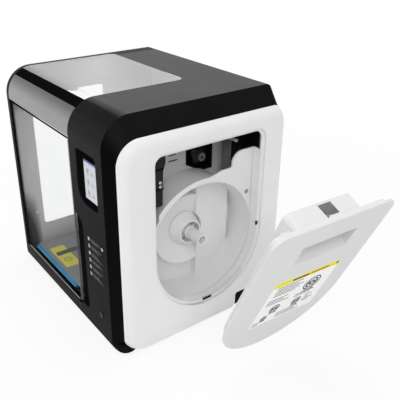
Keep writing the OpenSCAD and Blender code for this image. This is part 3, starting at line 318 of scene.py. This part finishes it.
# Nodes whose finish differs from the rest of their slot; the rear panel's and the liner's also carry
# painted shade
OWN = {
    "top_window": "top_pane",
    "rear_panel": "rear_white",
    "left_liner": "liner_side",
    "panel_screws": "screw_light",
    "drive_gear": "knob",
    "idler_lever": "gear_dark",
    "idler_roller": "gear_dark",
}
for name, node in NODES.items():
    node.data.materials.clear()
    node.data.materials.append(MATS[OWN.get(name, SLOT_OF[name])])


# Pieces
def add_piece(name, bm, finish, body):
    mesh = bpy.data.meshes.new(name)
    bm.to_mesh(mesh)
    bm.free()
    mesh.materials.append(MATS[finish])
    obj = bpy.data.objects.new(name, mesh)
    scene.collection.objects.link(obj)
    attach(obj, body)
    return obj


def round_edges(obj, width, segments, angle):
    bevel = obj.modifiers.new("edges", "BEVEL")
    bevel.width = width * MM
    bevel.segments = segments
    bevel.angle_limit = math.radians(angle)
    return bevel


def smooth(obj, angle):
    obj.data.shade_smooth()
    obj.data.set_sharp_from_angle(angle=math.radians(angle))


FLAT_DEGREES = 0.05
SHARP_DEGREES = 40.0
WELD = 1e-5


def soften(node, width=0.0, segments=2, pick=None, radius=0.0):
    """Copy of a CAD node with rounded edges, the picked ones more so, which stands for the node."""
    bm = bmesh.new()
    bm.from_mesh(NODES[node].data)
    bmesh.ops.remove_doubles(bm, verts=bm.verts, dist=WELD)
    bmesh.ops.dissolve_limit(bm, angle_limit=math.radians(FLAT_DEGREES), verts=bm.verts, edges=bm.edges)
    if pick:
        edges = [edge for edge in bm.edges if all(pick(from_frame(vert.co)) for vert in edge.verts)]
        bmesh.ops.bevel(bm, geom=edges, offset=radius * MM, segments=8, profile=0.5, affect="EDGES")
    obj = add_piece(node + "_soft", bm, SLOT_OF[node], BODY_OF[node])
    if width:
        bevel = round_edges(obj, width, segments, SHARP_DEGREES)
        bevel.limit_method = "ANGLE"
        bevel.use_clamp_overlap = False
    smooth(obj, SHARP_DEGREES)
    even = obj.modifiers.new("normals", "WEIGHTED_NORMAL")
    even.keep_sharp = True
    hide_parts(node)


# Flat marks and sheets on a face
AXIS_X = (1, 0, 0)
AXIS_Y = (0, 1, 0)
AXIS_Z = (0, 0, 1)


class Face:
    """Plane with two directions, and an optional turn of it."""

    def __init__(self, origin, u, v, turn=None):
        self.origin = Vector(origin)
        self.u = Vector(u)
        self.v = Vector(v)
        self.n = self.u.cross(self.v)
        self.turn = turn

    def point(self, u, v, height):
        place = self.origin + self.u * u + self.v * v + self.n * height
        if self.turn:
            place = self.turn @ place
        return to_frame(place)


def skin(bm, bottom, top):
    """Closed body between two rings of as many points."""
    count = len(bottom)
    bm.faces.new(top)
    bm.faces.new(bottom[::-1])
    for i in range(count):
        j = (i + 1) % count
        bm.faces.new((bottom[i], bottom[j], top[j], top[i]))


def plate(bm, face, low, high, radius, layer, steps=5):
    """Upright plate with rounded corners, between the two heights of a layer."""
    left = low[0] + radius
    right = high[0] - radius
    lower = low[1] + radius
    upper = high[1] - radius
    outline = []
    for quarter, (u, v) in enumerate(((right, lower), (right, upper), (left, upper), (left, lower))):
        for i in range(steps + 1):
            a = math.radians(90.0 * (quarter - 1 + i / steps))
            outline.append((u + radius * math.cos(a), v + radius * math.sin(a)))
    bottom, top = ([bm.verts.new(face.point(u, v, height)) for u, v in outline] for height in layer)
    skin(bm, bottom, top)


def ring(bm, face, middle, outer, inner, layer, sides=32):
    """Flat ring."""
    low, high = layer
    rows = []
    for radius, height in ((outer, low), (outer, high), (inner, high), (inner, low)):
        row = []
        for i in range(sides):
            a = 2 * math.pi * i / sides
            u = middle[0] + radius * math.cos(a)
            v = middle[1] + radius * math.sin(a)
            row.append(bm.verts.new(face.point(u, v, height)))
        rows.append(row)
    for row, following in zip(rows, rows[1:] + rows[:1]):
        for i in range(sides):
            j = (i + 1) % sides
            bm.faces.new((row[i], row[j], following[j], following[i]))


def frame_lines(bm, face, low, high, width, layer):
    """Outline of a rectangle in four thin bars."""
    radius = width * 0.3
    plate(bm, face, low, (high[0], low[1] + width), radius, layer)
    plate(bm, face, (low[0], high[1] - width), high, radius, layer)
    plate(bm, face, (low[0], low[1] + width), (low[0] + width, high[1] - width), radius, layer)
    plate(bm, face, (high[0] - width, low[1] + width), (high[0], high[1] - width), radius, layer)


def about(middle, half_u, half_v):
    """Low and high corner of a rectangle round its middle."""
    return (middle[0] - half_u, middle[1] - half_v), (middle[0] + half_u, middle[1] + half_v)


def plates(name, finish, body, rows):
    """One piece of plates: face, low corner, high corner, corner radius and layer of each."""
    bm = bmesh.new()
    for row in rows:
        plate(bm, *row)
    add_piece(name, bm, finish, body)


# Touch screen: header, tiles and bars of a made-up page
SCREEN = Face(screen_low, AXIS_X, AXIS_Z)
SCREEN_LAYER = (-0.1, 0.12)
SCREEN_W = screen_high.x - screen_low.x
SCREEN_H = screen_high.z - screen_low.z
SCREEN_EDGE = 0.2
HEADER_H = 3.4
HEADER_R = 0.4
TILE_ROWS = 3
TILE_AT = (9.0, 10.0)
TILE_PITCH = 18.5
TILE_R = 3.0
TILE_LINE = 1.4
# Low corner, high corner and corner radius of the marks by a tile, and what each loses from tile to tile
TILE_MARKS = [
    ((1.6, -0.6), (4.4, 2.4), 0.5, 0.0),
    ((-1.0, -3.4), (7.0, -2.4), 0.3, 0.0),
    ((14.0, -1.4), (22.0, -0.2), 0.4, 0.0),
    ((14.0, 1.4), (20.0, 2.6), 0.4, 1.0),
]
header_low = (SCREEN_EDGE, SCREEN_H - SCREEN_EDGE - HEADER_H)
header_high = (SCREEN_W - SCREEN_EDGE, SCREEN_H - SCREEN_EDGE)
header = (SCREEN, header_low, header_high, HEADER_R, SCREEN_LAYER)
plates("screen_header", "screen_header", "chassis", [header])
bm = bmesh.new()
for row in range(TILE_ROWS):
    left = TILE_AT[0]
    base = TILE_AT[1] + row * TILE_PITCH
    ring(bm, SCREEN, (left + TILE_R, base + TILE_R), TILE_R, TILE_R - TILE_LINE, SCREEN_LAYER)
    for low, high, radius, loss in TILE_MARKS:
        start = (left + low[0], base + low[1])
        end = (left + high[0] - loss * row, base + high[1])
        plate(bm, SCREEN, start, end, radius, SCREEN_LAYER)
add_piece("screen_tiles", bm, "screen_tile", "chassis")

# Column of plain marks and bars under the screen
FRONT = Face((102.4, hoop_low.y, 114.3), AXIS_X, AXIS_Z)
MARK_LAYER = (-0.1, 0.1)
BAR_LAYER = (-0.1, 0.08)
MARK_ROWS = 6
MARK_AT = (1.5, 3.0)
MARK_PITCH = 13.4
MARK_SIZE = 6.0
MARK_R = 1.2
MARK_LINE = 1.6
BARS = 3
BAR_R = 0.3
BAR_LEFT = 12.0
BAR_RISE = 0.3
BAR_PITCH = 2.4
BAR_H = 1.1
BAR_LENGTHS = (34.0, 27.0, 20.0)
DOT_AT = (49.0, 73.5)
DOT_R = 2.9
DOT_HALF = 3.0
marks = bmesh.new()
bars = bmesh.new()
for row in range(MARK_ROWS):
    low = (MARK_AT[0], MARK_AT[1] + row * MARK_PITCH)
    high = (low[0] + MARK_SIZE, low[1] + MARK_SIZE)
    if row % 2:
        plate(marks, FRONT, low, high, MARK_R, MARK_LAYER)
    else:
        frame_lines(marks, FRONT, low, high, MARK_LINE, MARK_LAYER)
    for line in range(BARS):
        length = BAR_LENGTHS[(row + line) % len(BAR_LENGTHS)]
        base = low[1] + BAR_RISE + line * BAR_PITCH
        plate(bars, FRONT, (BAR_LEFT, base), (BAR_LEFT + length, base + BAR_H), BAR_R, BAR_LAYER)
plate(marks, FRONT, *about(DOT_AT, DOT_HALF, DOT_HALF), DOT_R, MARK_LAYER)
add_piece("front_marks", marks, "pale_ink", "chassis")
add_piece("front_bars", bars, "dim_ink", "chassis")

# Sheet on the build plate with a dark strip over it and a simple figure
PLATE = Face((0, 0, plate_top), AXIS_X, AXIS_Y)
SHEET = (PLATE, (-122.0, -145.0), (-40.0, -115.0), 1.5, (-0.05, 0.2))
STRIP = (PLATE, (-101.0, -141.0), (-87.0, -76.0), 0.8, (0.0, 0.5))
FIGURE_AT = (-66.0, -130.0)
FIGURE_R = 8.0
FIGURE_RING = 0.8
FIGURE_HALF = (5.0, 4.5)
FIGURE_LINE = 0.7
FIGURE_LAYER = (0.1, 0.3)
plates("plate_sheet", "yellow_sheet", "bed", [SHEET])
plates("plate_strip", "dark_strip", "bed", [STRIP])
bm = bmesh.new()
ring(bm, PLATE, FIGURE_AT, FIGURE_R, FIGURE_R - FIGURE_RING, FIGURE_LAYER)
frame_lines(bm, PLATE, *about(FIGURE_AT, *FIGURE_HALF), FIGURE_LINE, FIGURE_LAYER)
add_piece("plate_sheet_lines", bm, "line_ink", "bed")

# Door: dark bands at the hinge side and the top, a painted highlight along its lower edge, and a painted
# highlight on its edge at the finger recess
DOOR = Face((0, door_low.y, 0), AXIS_X, AXIS_Z)
DOOR_END = Face((door_high.x, door_low.y, 0), AXIS_Y, AXIS_Z)
DOOR_T = door_high.y - door_low.y
DOOR_W = 248.0
BAND_LAYER = (-0.05, 0.15)
BAND_W = 5.5
BAND_H = 3.6
BAND_R = 0.5
BAND_INSET = (0.8, 0.2)
BAND_RISE = 5.0
HIGHLIGHT_LAYER = (-0.05, 0.3)
HIGHLIGHT_INSET = (12.0, 7.0)
HIGHLIGHT_H = 2.0
HIGHLIGHT_R = 0.4
SIDE_LAYER = (-0.05, 0.2)
SIDE_W = 1.2
SIDE_GAPS = (3.0, 4.0)
END_LAYER = (-0.05, 0.1)
END_INSET = (0.2, 2.0)
band_left = door_high.x - DOOR_W + BAND_INSET[0]
band_right = door_high.x - BAND_INSET[1]
band_low = door_low.z + BAND_RISE
band_high = door_high.z - BAND_RISE
highlight_low = (band_left + HIGHLIGHT_INSET[0], band_low)
highlight_high = (band_right - HIGHLIGHT_INSET[1], band_low + HIGHLIGHT_H)
side_low = (band_right - SIDE_W, band_low + SIDE_GAPS[0])
side_high = (band_right, band_high - SIDE_GAPS[1])
end_low = (END_INSET[0], door_low.z + END_INSET[1])
end_high = (DOOR_T - END_INSET[0], door_high.z - END_INSET[1])
plates("door_band", "gloss_black", "front_door", [
    (DOOR, (band_left, band_low), (band_left + BAND_W, band_high), BAND_R, BAND_LAYER),
    (DOOR, (band_left, band_high - BAND_H), (band_right, band_high), BAND_R, BAND_LAYER),
])
plates("painted_highlight_lower_edge", "lower_highlight_grey", "front_door", [(DOOR, highlight_low, highlight_high, HIGHLIGHT_R, HIGHLIGHT_LAYER)])
plates("painted_highlight_side_edge", "side_highlight_grey", "front_door", [
    (DOOR, side_low, side_high, HIGHLIGHT_R, SIDE_LAYER),
    (DOOR_END, end_low, end_high, HIGHLIGHT_R, END_LAYER),
])

# Bars on the wall of the feed space
FEED = Face((115.0, 0, 0), AXIS_Y, AXIS_Z)
FEED_LAYER = (-0.1, 0.12)
FEED_R = 0.6
plates("feed_marks", "ink", "chassis", [
    (FEED, (-14.0, 301.0), (4.0, 303.0), FEED_R, FEED_LAYER),
    (FEED, (-12.0, 296.5), (3.0, 298.5), FEED_R, FEED_LAYER),
    (FEED, (-12.0, 285.8), (6.0, 288.2), FEED_R, FEED_LAYER),
])

# Painted shade: dark plates inside the two latch slots of the collar, and in the blind hole of the tray's
# rim
SHADOW_LAYER = (-0.3, 0.3)
COLLAR = Face((196.3, 0, 0), AXIS_Y, AXIS_Z)
COLLAR_R = 0.5
HOLE_DEPTH = 2.0
HOLE_AT = (110.5, 222.0)
HOLE_R = 4.3
RIM = Face((rim_x - HOLE_DEPTH, 0, 0), AXIS_Y, AXIS_Z)
plates("latch_shadow", "dark_plastic", "chassis", [
    (COLLAR, (118.7, 160.2), (123.8, 167.8), COLLAR_R, SHADOW_LAYER),
    (COLLAR, (2.2, 46.2), (21.8, 50.3), COLLAR_R, SHADOW_LAYER),
])
plates("hole_shadow", "shade_grey", "chassis", [
    (RIM, *about(HOLE_AT, HOLE_R, HOLE_R), HOLE_R, SHADOW_LAYER),
])

# Dark joints between the parts of the bracket, and painted shade in the hollows of its two pins
BRACKET = Face((bracket_x, 0, 0), AXIS_Y, AXIS_Z)
BRACKET_LAYER = (-0.1, 0.2)
BRACKET_LEFT = -92.0
BRACKET_R = 0.5
PINS = [(-72.0, 282.0), (-72.0, 289.0)]
PIN_HALF = 1.0
PIN_R = 0.9
PIN_LAYER = (0.9, 1.1)
joints = [
    (BRACKET, (BRACKET_LEFT, 309.5), (-65.0, 312.5), BRACKET_R, BRACKET_LAYER),
    (BRACKET, (BRACKET_LEFT, 276.5), (-65.0, 278.5), BRACKET_R, BRACKET_LAYER),
    (BRACKET, (BRACKET_LEFT, 312.0), (-80.0, 326.0), BRACKET_R, BRACKET_LAYER),
]
hollow_shades = [(BRACKET, *about(pin, PIN_HALF, PIN_HALF), PIN_R, PIN_LAYER) for pin in PINS]
plates("bracket_lines", "gloss_black", "chassis", joints + hollow_shades)

# Sheet on the cover, which its joint holds away from its seat: plain header, bars and simple figures
cover_joint = JOINT_OF["cover_swing"]
cover_pivot = from_frame(cover_joint["pos_m"])
cover_angle = math.radians(-cover_joint["range_deg"][0])
cover_turn = (Matrix.Translation(cover_pivot) @ Matrix.Rotation(cover_angle, 4, Vector(cover_joint["axis"]))
              @ Matrix.Translation(-cover_pivot))
LABEL_TILT = math.radians(1.5)
LABEL_U = (0, math.cos(LABEL_TILT), -math.sin(LABEL_TILT))
LABEL_V = (0, math.sin(LABEL_TILT), math.cos(LABEL_TILT))
LABEL = Face((side_x, -46.5, 120.0), LABEL_U, LABEL_V, cover_turn)
LABEL_W = 128.0
LABEL_H = 113.0
LABEL_HEAD = 11.4
LABEL_EDGE = 0.3
LABEL_R = 1.0
LABEL_LAYER = (-0.1, 0.15)
LABEL_INK = (0.1, 0.24)
HEAD_R = 0.8
HEAD_LAYER = (0.0, 0.22)
HEAD_INK = (0.1, 0.28)
HEAD_BAR_R = 0.6
HEAD_DOT_R = 1.2
head_low = (LABEL_EDGE, LABEL_H - LABEL_HEAD)
head_high = (LABEL_W - LABEL_EDGE, LABEL_H - LABEL_EDGE)
plates("label_sheet", "label_white", "cover", [
    (LABEL, (0, 0), (LABEL_W, LABEL_H), LABEL_R, LABEL_LAYER),
])
plates("label_header", "label_yellow", "cover", [
    (LABEL, head_low, head_high, HEAD_R, HEAD_LAYER),
])
plates("label_header_bars", "ink", "cover", [
    (LABEL, (34.0, LABEL_H - 8.6), (66.0, LABEL_H - 3.8), HEAD_BAR_R, HEAD_INK),
    (LABEL, (69.0, LABEL_H - 7.6), (106.0, LABEL_H - 4.6), HEAD_BAR_R, HEAD_INK),
    (LABEL, (LABEL_W - 7.0, LABEL_H - 8.6), (LABEL_W - 2.4, LABEL_H - 3.2), HEAD_DOT_R, HEAD_INK),
])
# Spool figure: shares of its size, with the width and the rounding of its bars in millimetres
SPOOL_RINGS = ((0.50, 0.43), (0.36, 0.28), (0.18, 0.07))
FOOT_DROP = 0.56
FOOT_REACH = 0.4
FOOT_H = 1.4
FOOT_R = 0.4
SPOKE_OUT = 0.22
SPOKE_TOP = 0.2
SPOKE_HALF = 0.9
SPOKE_R = 0.3
# Middle and size of each figure
SPOOLS = [((90.0, 74.0), 33.0), ((80.0, 32.0), 19.0), ((34.0, 37.0), 20.0), ((22.0, 17.0), 13.0)]
LINE_PITCH = 5.2
LINE_W = 1.7
LINE_R = 0.4
LINE_STEP = 6.0
# Left end, lowest bar, number and length of the bars of each block
BAR_BLOCKS = [
    (12.0, 76.0, 5, 54.0),
    (8.0, 55.0, 3, 44.0),
    (66.0, 47.0, 2, 46.0),
    (48.0, 5.0, 3, 50.0),
    (4.0, 3.0, 2, 24.0),
    (96.0, 22.0, 4, 20.0),
]


def spool_figure(bm, middle, size):
    """Spool seen from its side, on a foot."""
    for outer, inner in SPOOL_RINGS:
        ring(bm, LABEL, middle, outer * size, inner * size, LABEL_INK)
    foot = middle[1] - FOOT_DROP * size
    reach = FOOT_REACH * size
    plate(bm, LABEL, (middle[0] - reach, foot - FOOT_H), (middle[0] + reach, foot), FOOT_R, LABEL_INK)
    for side in (-1, 1):
        spoke = middle[0] + side * SPOKE_OUT * size
        top = middle[1] + SPOKE_TOP * size
        plate(bm, LABEL, (spoke - SPOKE_HALF, foot), (spoke + SPOKE_HALF, top), SPOKE_R, LABEL_INK)


def bar_block(bm, left, low, count, length):
    """Bars of uneven length, one above the other."""
    for i in range(count):
        end = left + length - LINE_STEP * ((i * 2 + count) % 3)
        base = low + i * LINE_PITCH
        plate(bm, LABEL, (left, base), (end, base + LINE_W), LINE_R, LABEL_INK)


bm = bmesh.new()
for middle, size in SPOOLS:
    spool_figure(bm, middle, size)
for block in BAR_BLOCKS:
    bar_block(bm, *block)
add_piece("label_lines", bm, "line_ink", "cover")

# Lower edge of the front and the full lower corner of the ring, under the rounded corner of the panel
BASE = Face((0, 0, hoop_low.z), AXIS_X, AXIS_Y)
EDGE_R = 1.4
EDGE_DEGREES = 50.0
BASE_SMOOTH_DEGREES = 60.0
EDGE_X = (hoop_low.x + 0.4, hoop_high.x + 1.0)
EDGE_Y = (hoop_low.y + 0.1, hoop_low.y + 6.5)
EDGE_H = 4.4
CORNER_H = 9.0
CORNER_AT = (hoop_high.x - 1.0, EDGE_Y[0])
CORNER_BACK = 8.4
CORNER_REACH = (31.2, 22.4)
CORNER_TOP = (21.5, 16.6)
CORNER_TAIL = 16.0
CORNER_TIP = 2.5
CORNER_POWER = 2.0 / 3.0
CORNER_STEPS = 8


def base_piece(name, low_line, high_line, height, slot):
    """Skin between a line on the base and a line of as many points above it."""
    bm = bmesh.new()
    bottom = [bm.verts.new(BASE.point(x, y, 0.0)) for x, y in low_line]
    top = [bm.verts.new(BASE.point(x, y, height)) for x, y in high_line]
    skin(bm, bottom, top)
    obj = add_piece(name, bm, slot, "chassis")
    round_edges(obj, EDGE_R, 3, EDGE_DEGREES)
    smooth(obj, BASE_SMOOTH_DEGREES)


edge_left, edge_right = EDGE_X
edge_near, edge_far = EDGE_Y
front_edge = [
    (edge_left, edge_far),
    (edge_left, edge_near),
    (edge_right, edge_near),
    (edge_right, edge_far),
]
base_piece("front_base", front_edge, front_edge, EDGE_H, "hoop_black")

# The low line of the corner is a squarish quarter round, and the high line runs straight inside it
corner_x, corner_y = CORNER_AT
low_line = [(corner_x, corner_y + CORNER_BACK)]
high_line = [(corner_x, corner_y + CORNER_BACK)]
for i in range(CORNER_STEPS + 1):
    a = math.radians(90.0 * i / CORNER_STEPS)
    out = max(0.0, math.sin(a)) ** CORNER_POWER
    along_side = 1.0 - max(0.0, math.cos(a)) ** CORNER_POWER
    low_line.append((corner_x + CORNER_REACH[0] * out, corner_y + CORNER_REACH[1] * along_side))
    share = i / (CORNER_STEPS - 1)
    high_line.append((corner_x + CORNER_TOP[0] * share, corner_y + CORNER_TOP[1] * share))
top_x = corner_x + CORNER_TOP[0]
end_y = corner_y + CORNER_REACH[1]
high_line[-1] = (top_x, end_y)
high_line.append((top_x, end_y + CORNER_TAIL))
low_line.append((top_x + CORNER_TIP, end_y + CORNER_TAIL))
base_piece("ring_corner", low_line, high_line, CORNER_H, "ring_black")

# Rounded copies of the moulded pieces in view, and the latch bar on the cover's grip
GRIP_END = -44.0
GRIP_TOP_Z = 331.0
GRIP_EDGE = 7.0
GRIP_R = 9.5
GRIP_NEAR = 0.4
GRIP_TOP = Face((0, 0, GRIP_TOP_Z), AXIS_X, AXIS_Y, cover_turn)
LATCH = (GRIP_TOP, (184.6, 13.0), (189.4, 36.5), 2.0, (-0.2, 1.5))
seated = cover_turn.inverted()


def on_grip_end(place):
    """Whether a point lies on the upper edge of the grip's end, with the cover in its seat."""
    place = seated @ place
    return abs(place.y - GRIP_END) < GRIP_NEAR and place.z > GRIP_TOP_Z - GRIP_EDGE


soften("right_panel")
soften("outer_hoop", 1.0)
soften("filament_cover", 1.2, 3, on_grip_end, GRIP_R)
plates("cover_latch", "cover_grey", "cover", [LATCH])

# Camera, fitted to the photograph, with its focal length and centre in pixels
CAMERA_AT = (838.47, -509.48, 659.91)
CAMERA_YAW = math.radians(54.245)
CAMERA_PITCH = math.radians(25.384)
FOCAL = 568.72
CENTRE = (179.83, 185.37)
IMAGE = 400.0
SENSOR = 36.0
level = math.cos(CAMERA_PITCH)
back = Vector((math.sin(CAMERA_YAW) * level, -math.cos(CAMERA_YAW) * level, math.sin(CAMERA_PITCH)))
right = Vector((math.cos(CAMERA_YAW), math.sin(CAMERA_YAW), 0.0))
up = back.cross(right)
lens = bpy.data.cameras.new("camera")
lens.sensor_fit = "HORIZONTAL"
lens.sensor_width = SENSOR
lens.lens = FOCAL / IMAGE * SENSOR
lens.shift_x = (IMAGE / 2 - CENTRE[0]) / IMAGE
lens.shift_y = (CENTRE[1] - IMAGE / 2) / IMAGE
lens.clip_end = 20.0
camera = bpy.data.objects.new("camera", lens)
turn = Matrix((right, up, back)).transposed().to_4x4()
camera.matrix_world = Matrix.Translation(to_frame(CAMERA_AT)) @ turn
scene.collection.objects.link(camera)
scene.camera = camera


# Light
def seen_share(nodes, links):
    """One for what the eye meets straight, mirrored or through a pane, with its light path node."""
    path = nodes.new("ShaderNodeLightPath")
    share = path.outputs["Is Camera Ray"]
    for kind in ("Is Glossy Ray", "Is Transmission Ray"):
        either = nodes.new("ShaderNodeMath")
        either.operation = "MAXIMUM"
        links.new(share, either.inputs[0])
        links.new(path.outputs[kind], either.inputs[1])
        share = either.outputs[0]
    return share, path


WHITE = (1, 1, 1, 1)
SOFT_LIGHT = 0.55
SKY_STOPS = [(0.55, (1.0, 1.0, 1.0)), (0.85, (0.12, 0.12, 0.12))]
scene.view_settings.view_transform = "Standard"
scene.world = bpy.data.worlds.new("world")
scene.world.use_nodes = True
nodes = scene.world.node_tree.nodes
links = scene.world.node_tree.links
nodes.clear()
seen, path = seen_share(nodes, links)
direction = nodes.new("ShaderNodeTexCoord")
split = nodes.new("ShaderNodeSeparateXYZ")
links.new(direction.outputs["Generated"], split.inputs[0])
mirrored = nodes.new("ShaderNodeMix")
mirrored.data_type = "RGBA"
mirrored.inputs["A"].default_value = WHITE
links.new(path.outputs["Is Glossy Ray"], mirrored.inputs["Factor"])
links.new(ramp(nodes, links, split.outputs["Z"], SKY_STOPS), mirrored.inputs["B"])
soft = nodes.new("ShaderNodeBackground")
soft.inputs["Color"].default_value = WHITE
soft.inputs["Strength"].default_value = SOFT_LIGHT
backdrop = nodes.new("ShaderNodeBackground")
backdrop.inputs["Strength"].default_value = 1.0
links.new(mirrored.outputs["Result"], backdrop.inputs["Color"])
mix = nodes.new("ShaderNodeMixShader")
links.new(seen, mix.inputs["Fac"])
links.new(soft.outputs[0], mix.inputs[1])
links.new(backdrop.outputs[0], mix.inputs[2])
links.new(mix.outputs[0], nodes.new("ShaderNodeOutputWorld").inputs["Surface"])


def lamp(name, place, target, size, power):
    """Round soft lamp, in metres of the frame."""
    data = bpy.data.lights.new(name, "AREA")
    data.shape = "DISK"
    data.size = size
    data.energy = power
    obj = bpy.data.objects.new(name, data)
    obj.location = place
    obj.rotation_euler = (Vector(target) - Vector(place)).to_track_quat("-Z", "Y").to_euler()
    scene.collection.objects.link(obj)


lamp("key", (1.6, -0.9, 1.7), (0.1, 0.0, 0.2), 1.2, 16.0)
lamp("top", (-0.2, 0.1, 1.9), (0.0, 0.0, 0.2), 1.4, 12.0)
lamp("front", (-1.2, -1.6, 1.1), (-0.1, 0.0, 0.2), 1.2, 8.0)

# Pale floor, white to the eye away from the object, with the shadow kept near it
FLOOR_HALF = 12.0
FLOOR_TONE = (0.9, 0.9, 0.9, 1)
FLOOR_ROUGH = 0.9
SHADOW_REACH = (0.45, 1.3)
SHADOW_SHARE = 0.86
bm = bmesh.new()
corners = ((-1, -1), (1, -1), (1, 1), (-1, 1))
bm.faces.new([bm.verts.new((x * FLOOR_HALF, y * FLOOR_HALF, 0.0)) for x, y in corners])
floor_mesh = bpy.data.meshes.new("floor")
bm.to_mesh(floor_mesh)
bm.free()
floor = bpy.data.objects.new("floor", floor_mesh)
scene.collection.objects.link(floor)
nodes, links, bsdf = new_material("floor")
bsdf.inputs["Base Color"].default_value = FLOOR_TONE
bsdf.inputs["Roughness"].default_value = FLOOR_ROUGH
glow = nodes.new("ShaderNodeEmission")
glow.inputs["Strength"].default_value = 1.0
coord = nodes.new("ShaderNodeTexCoord")
distance = nodes.new("ShaderNodeVectorMath")
distance.operation = "LENGTH"
links.new(coord.outputs["Object"], distance.inputs[0])
fade = nodes.new("ShaderNodeMapRange")
fade.inputs["From Min"].default_value = SHADOW_REACH[0]
fade.inputs["From Max"].default_value = SHADOW_REACH[1]
fade.inputs["To Min"].default_value = SHADOW_SHARE
fade.inputs["To Max"].default_value = 1.0
links.new(distance.outputs["Value"], fade.inputs["Value"])
seen, path = seen_share(nodes, links)
white_share = nodes.new("ShaderNodeMath")
white_share.operation = "MULTIPLY"
links.new(seen, white_share.inputs[0])
links.new(fade.outputs["Result"], white_share.inputs[1])
mix = nodes.new("ShaderNodeMixShader")
links.new(white_share.outputs[0], mix.inputs["Fac"])
links.new(bsdf.outputs[0], mix.inputs[1])
links.new(glow.outputs[0], mix.inputs[2])
links.new(mix.outputs[0], nodes["Material Output"].inputs["Surface"])
floor_mesh.materials.append(MATS["floor"])
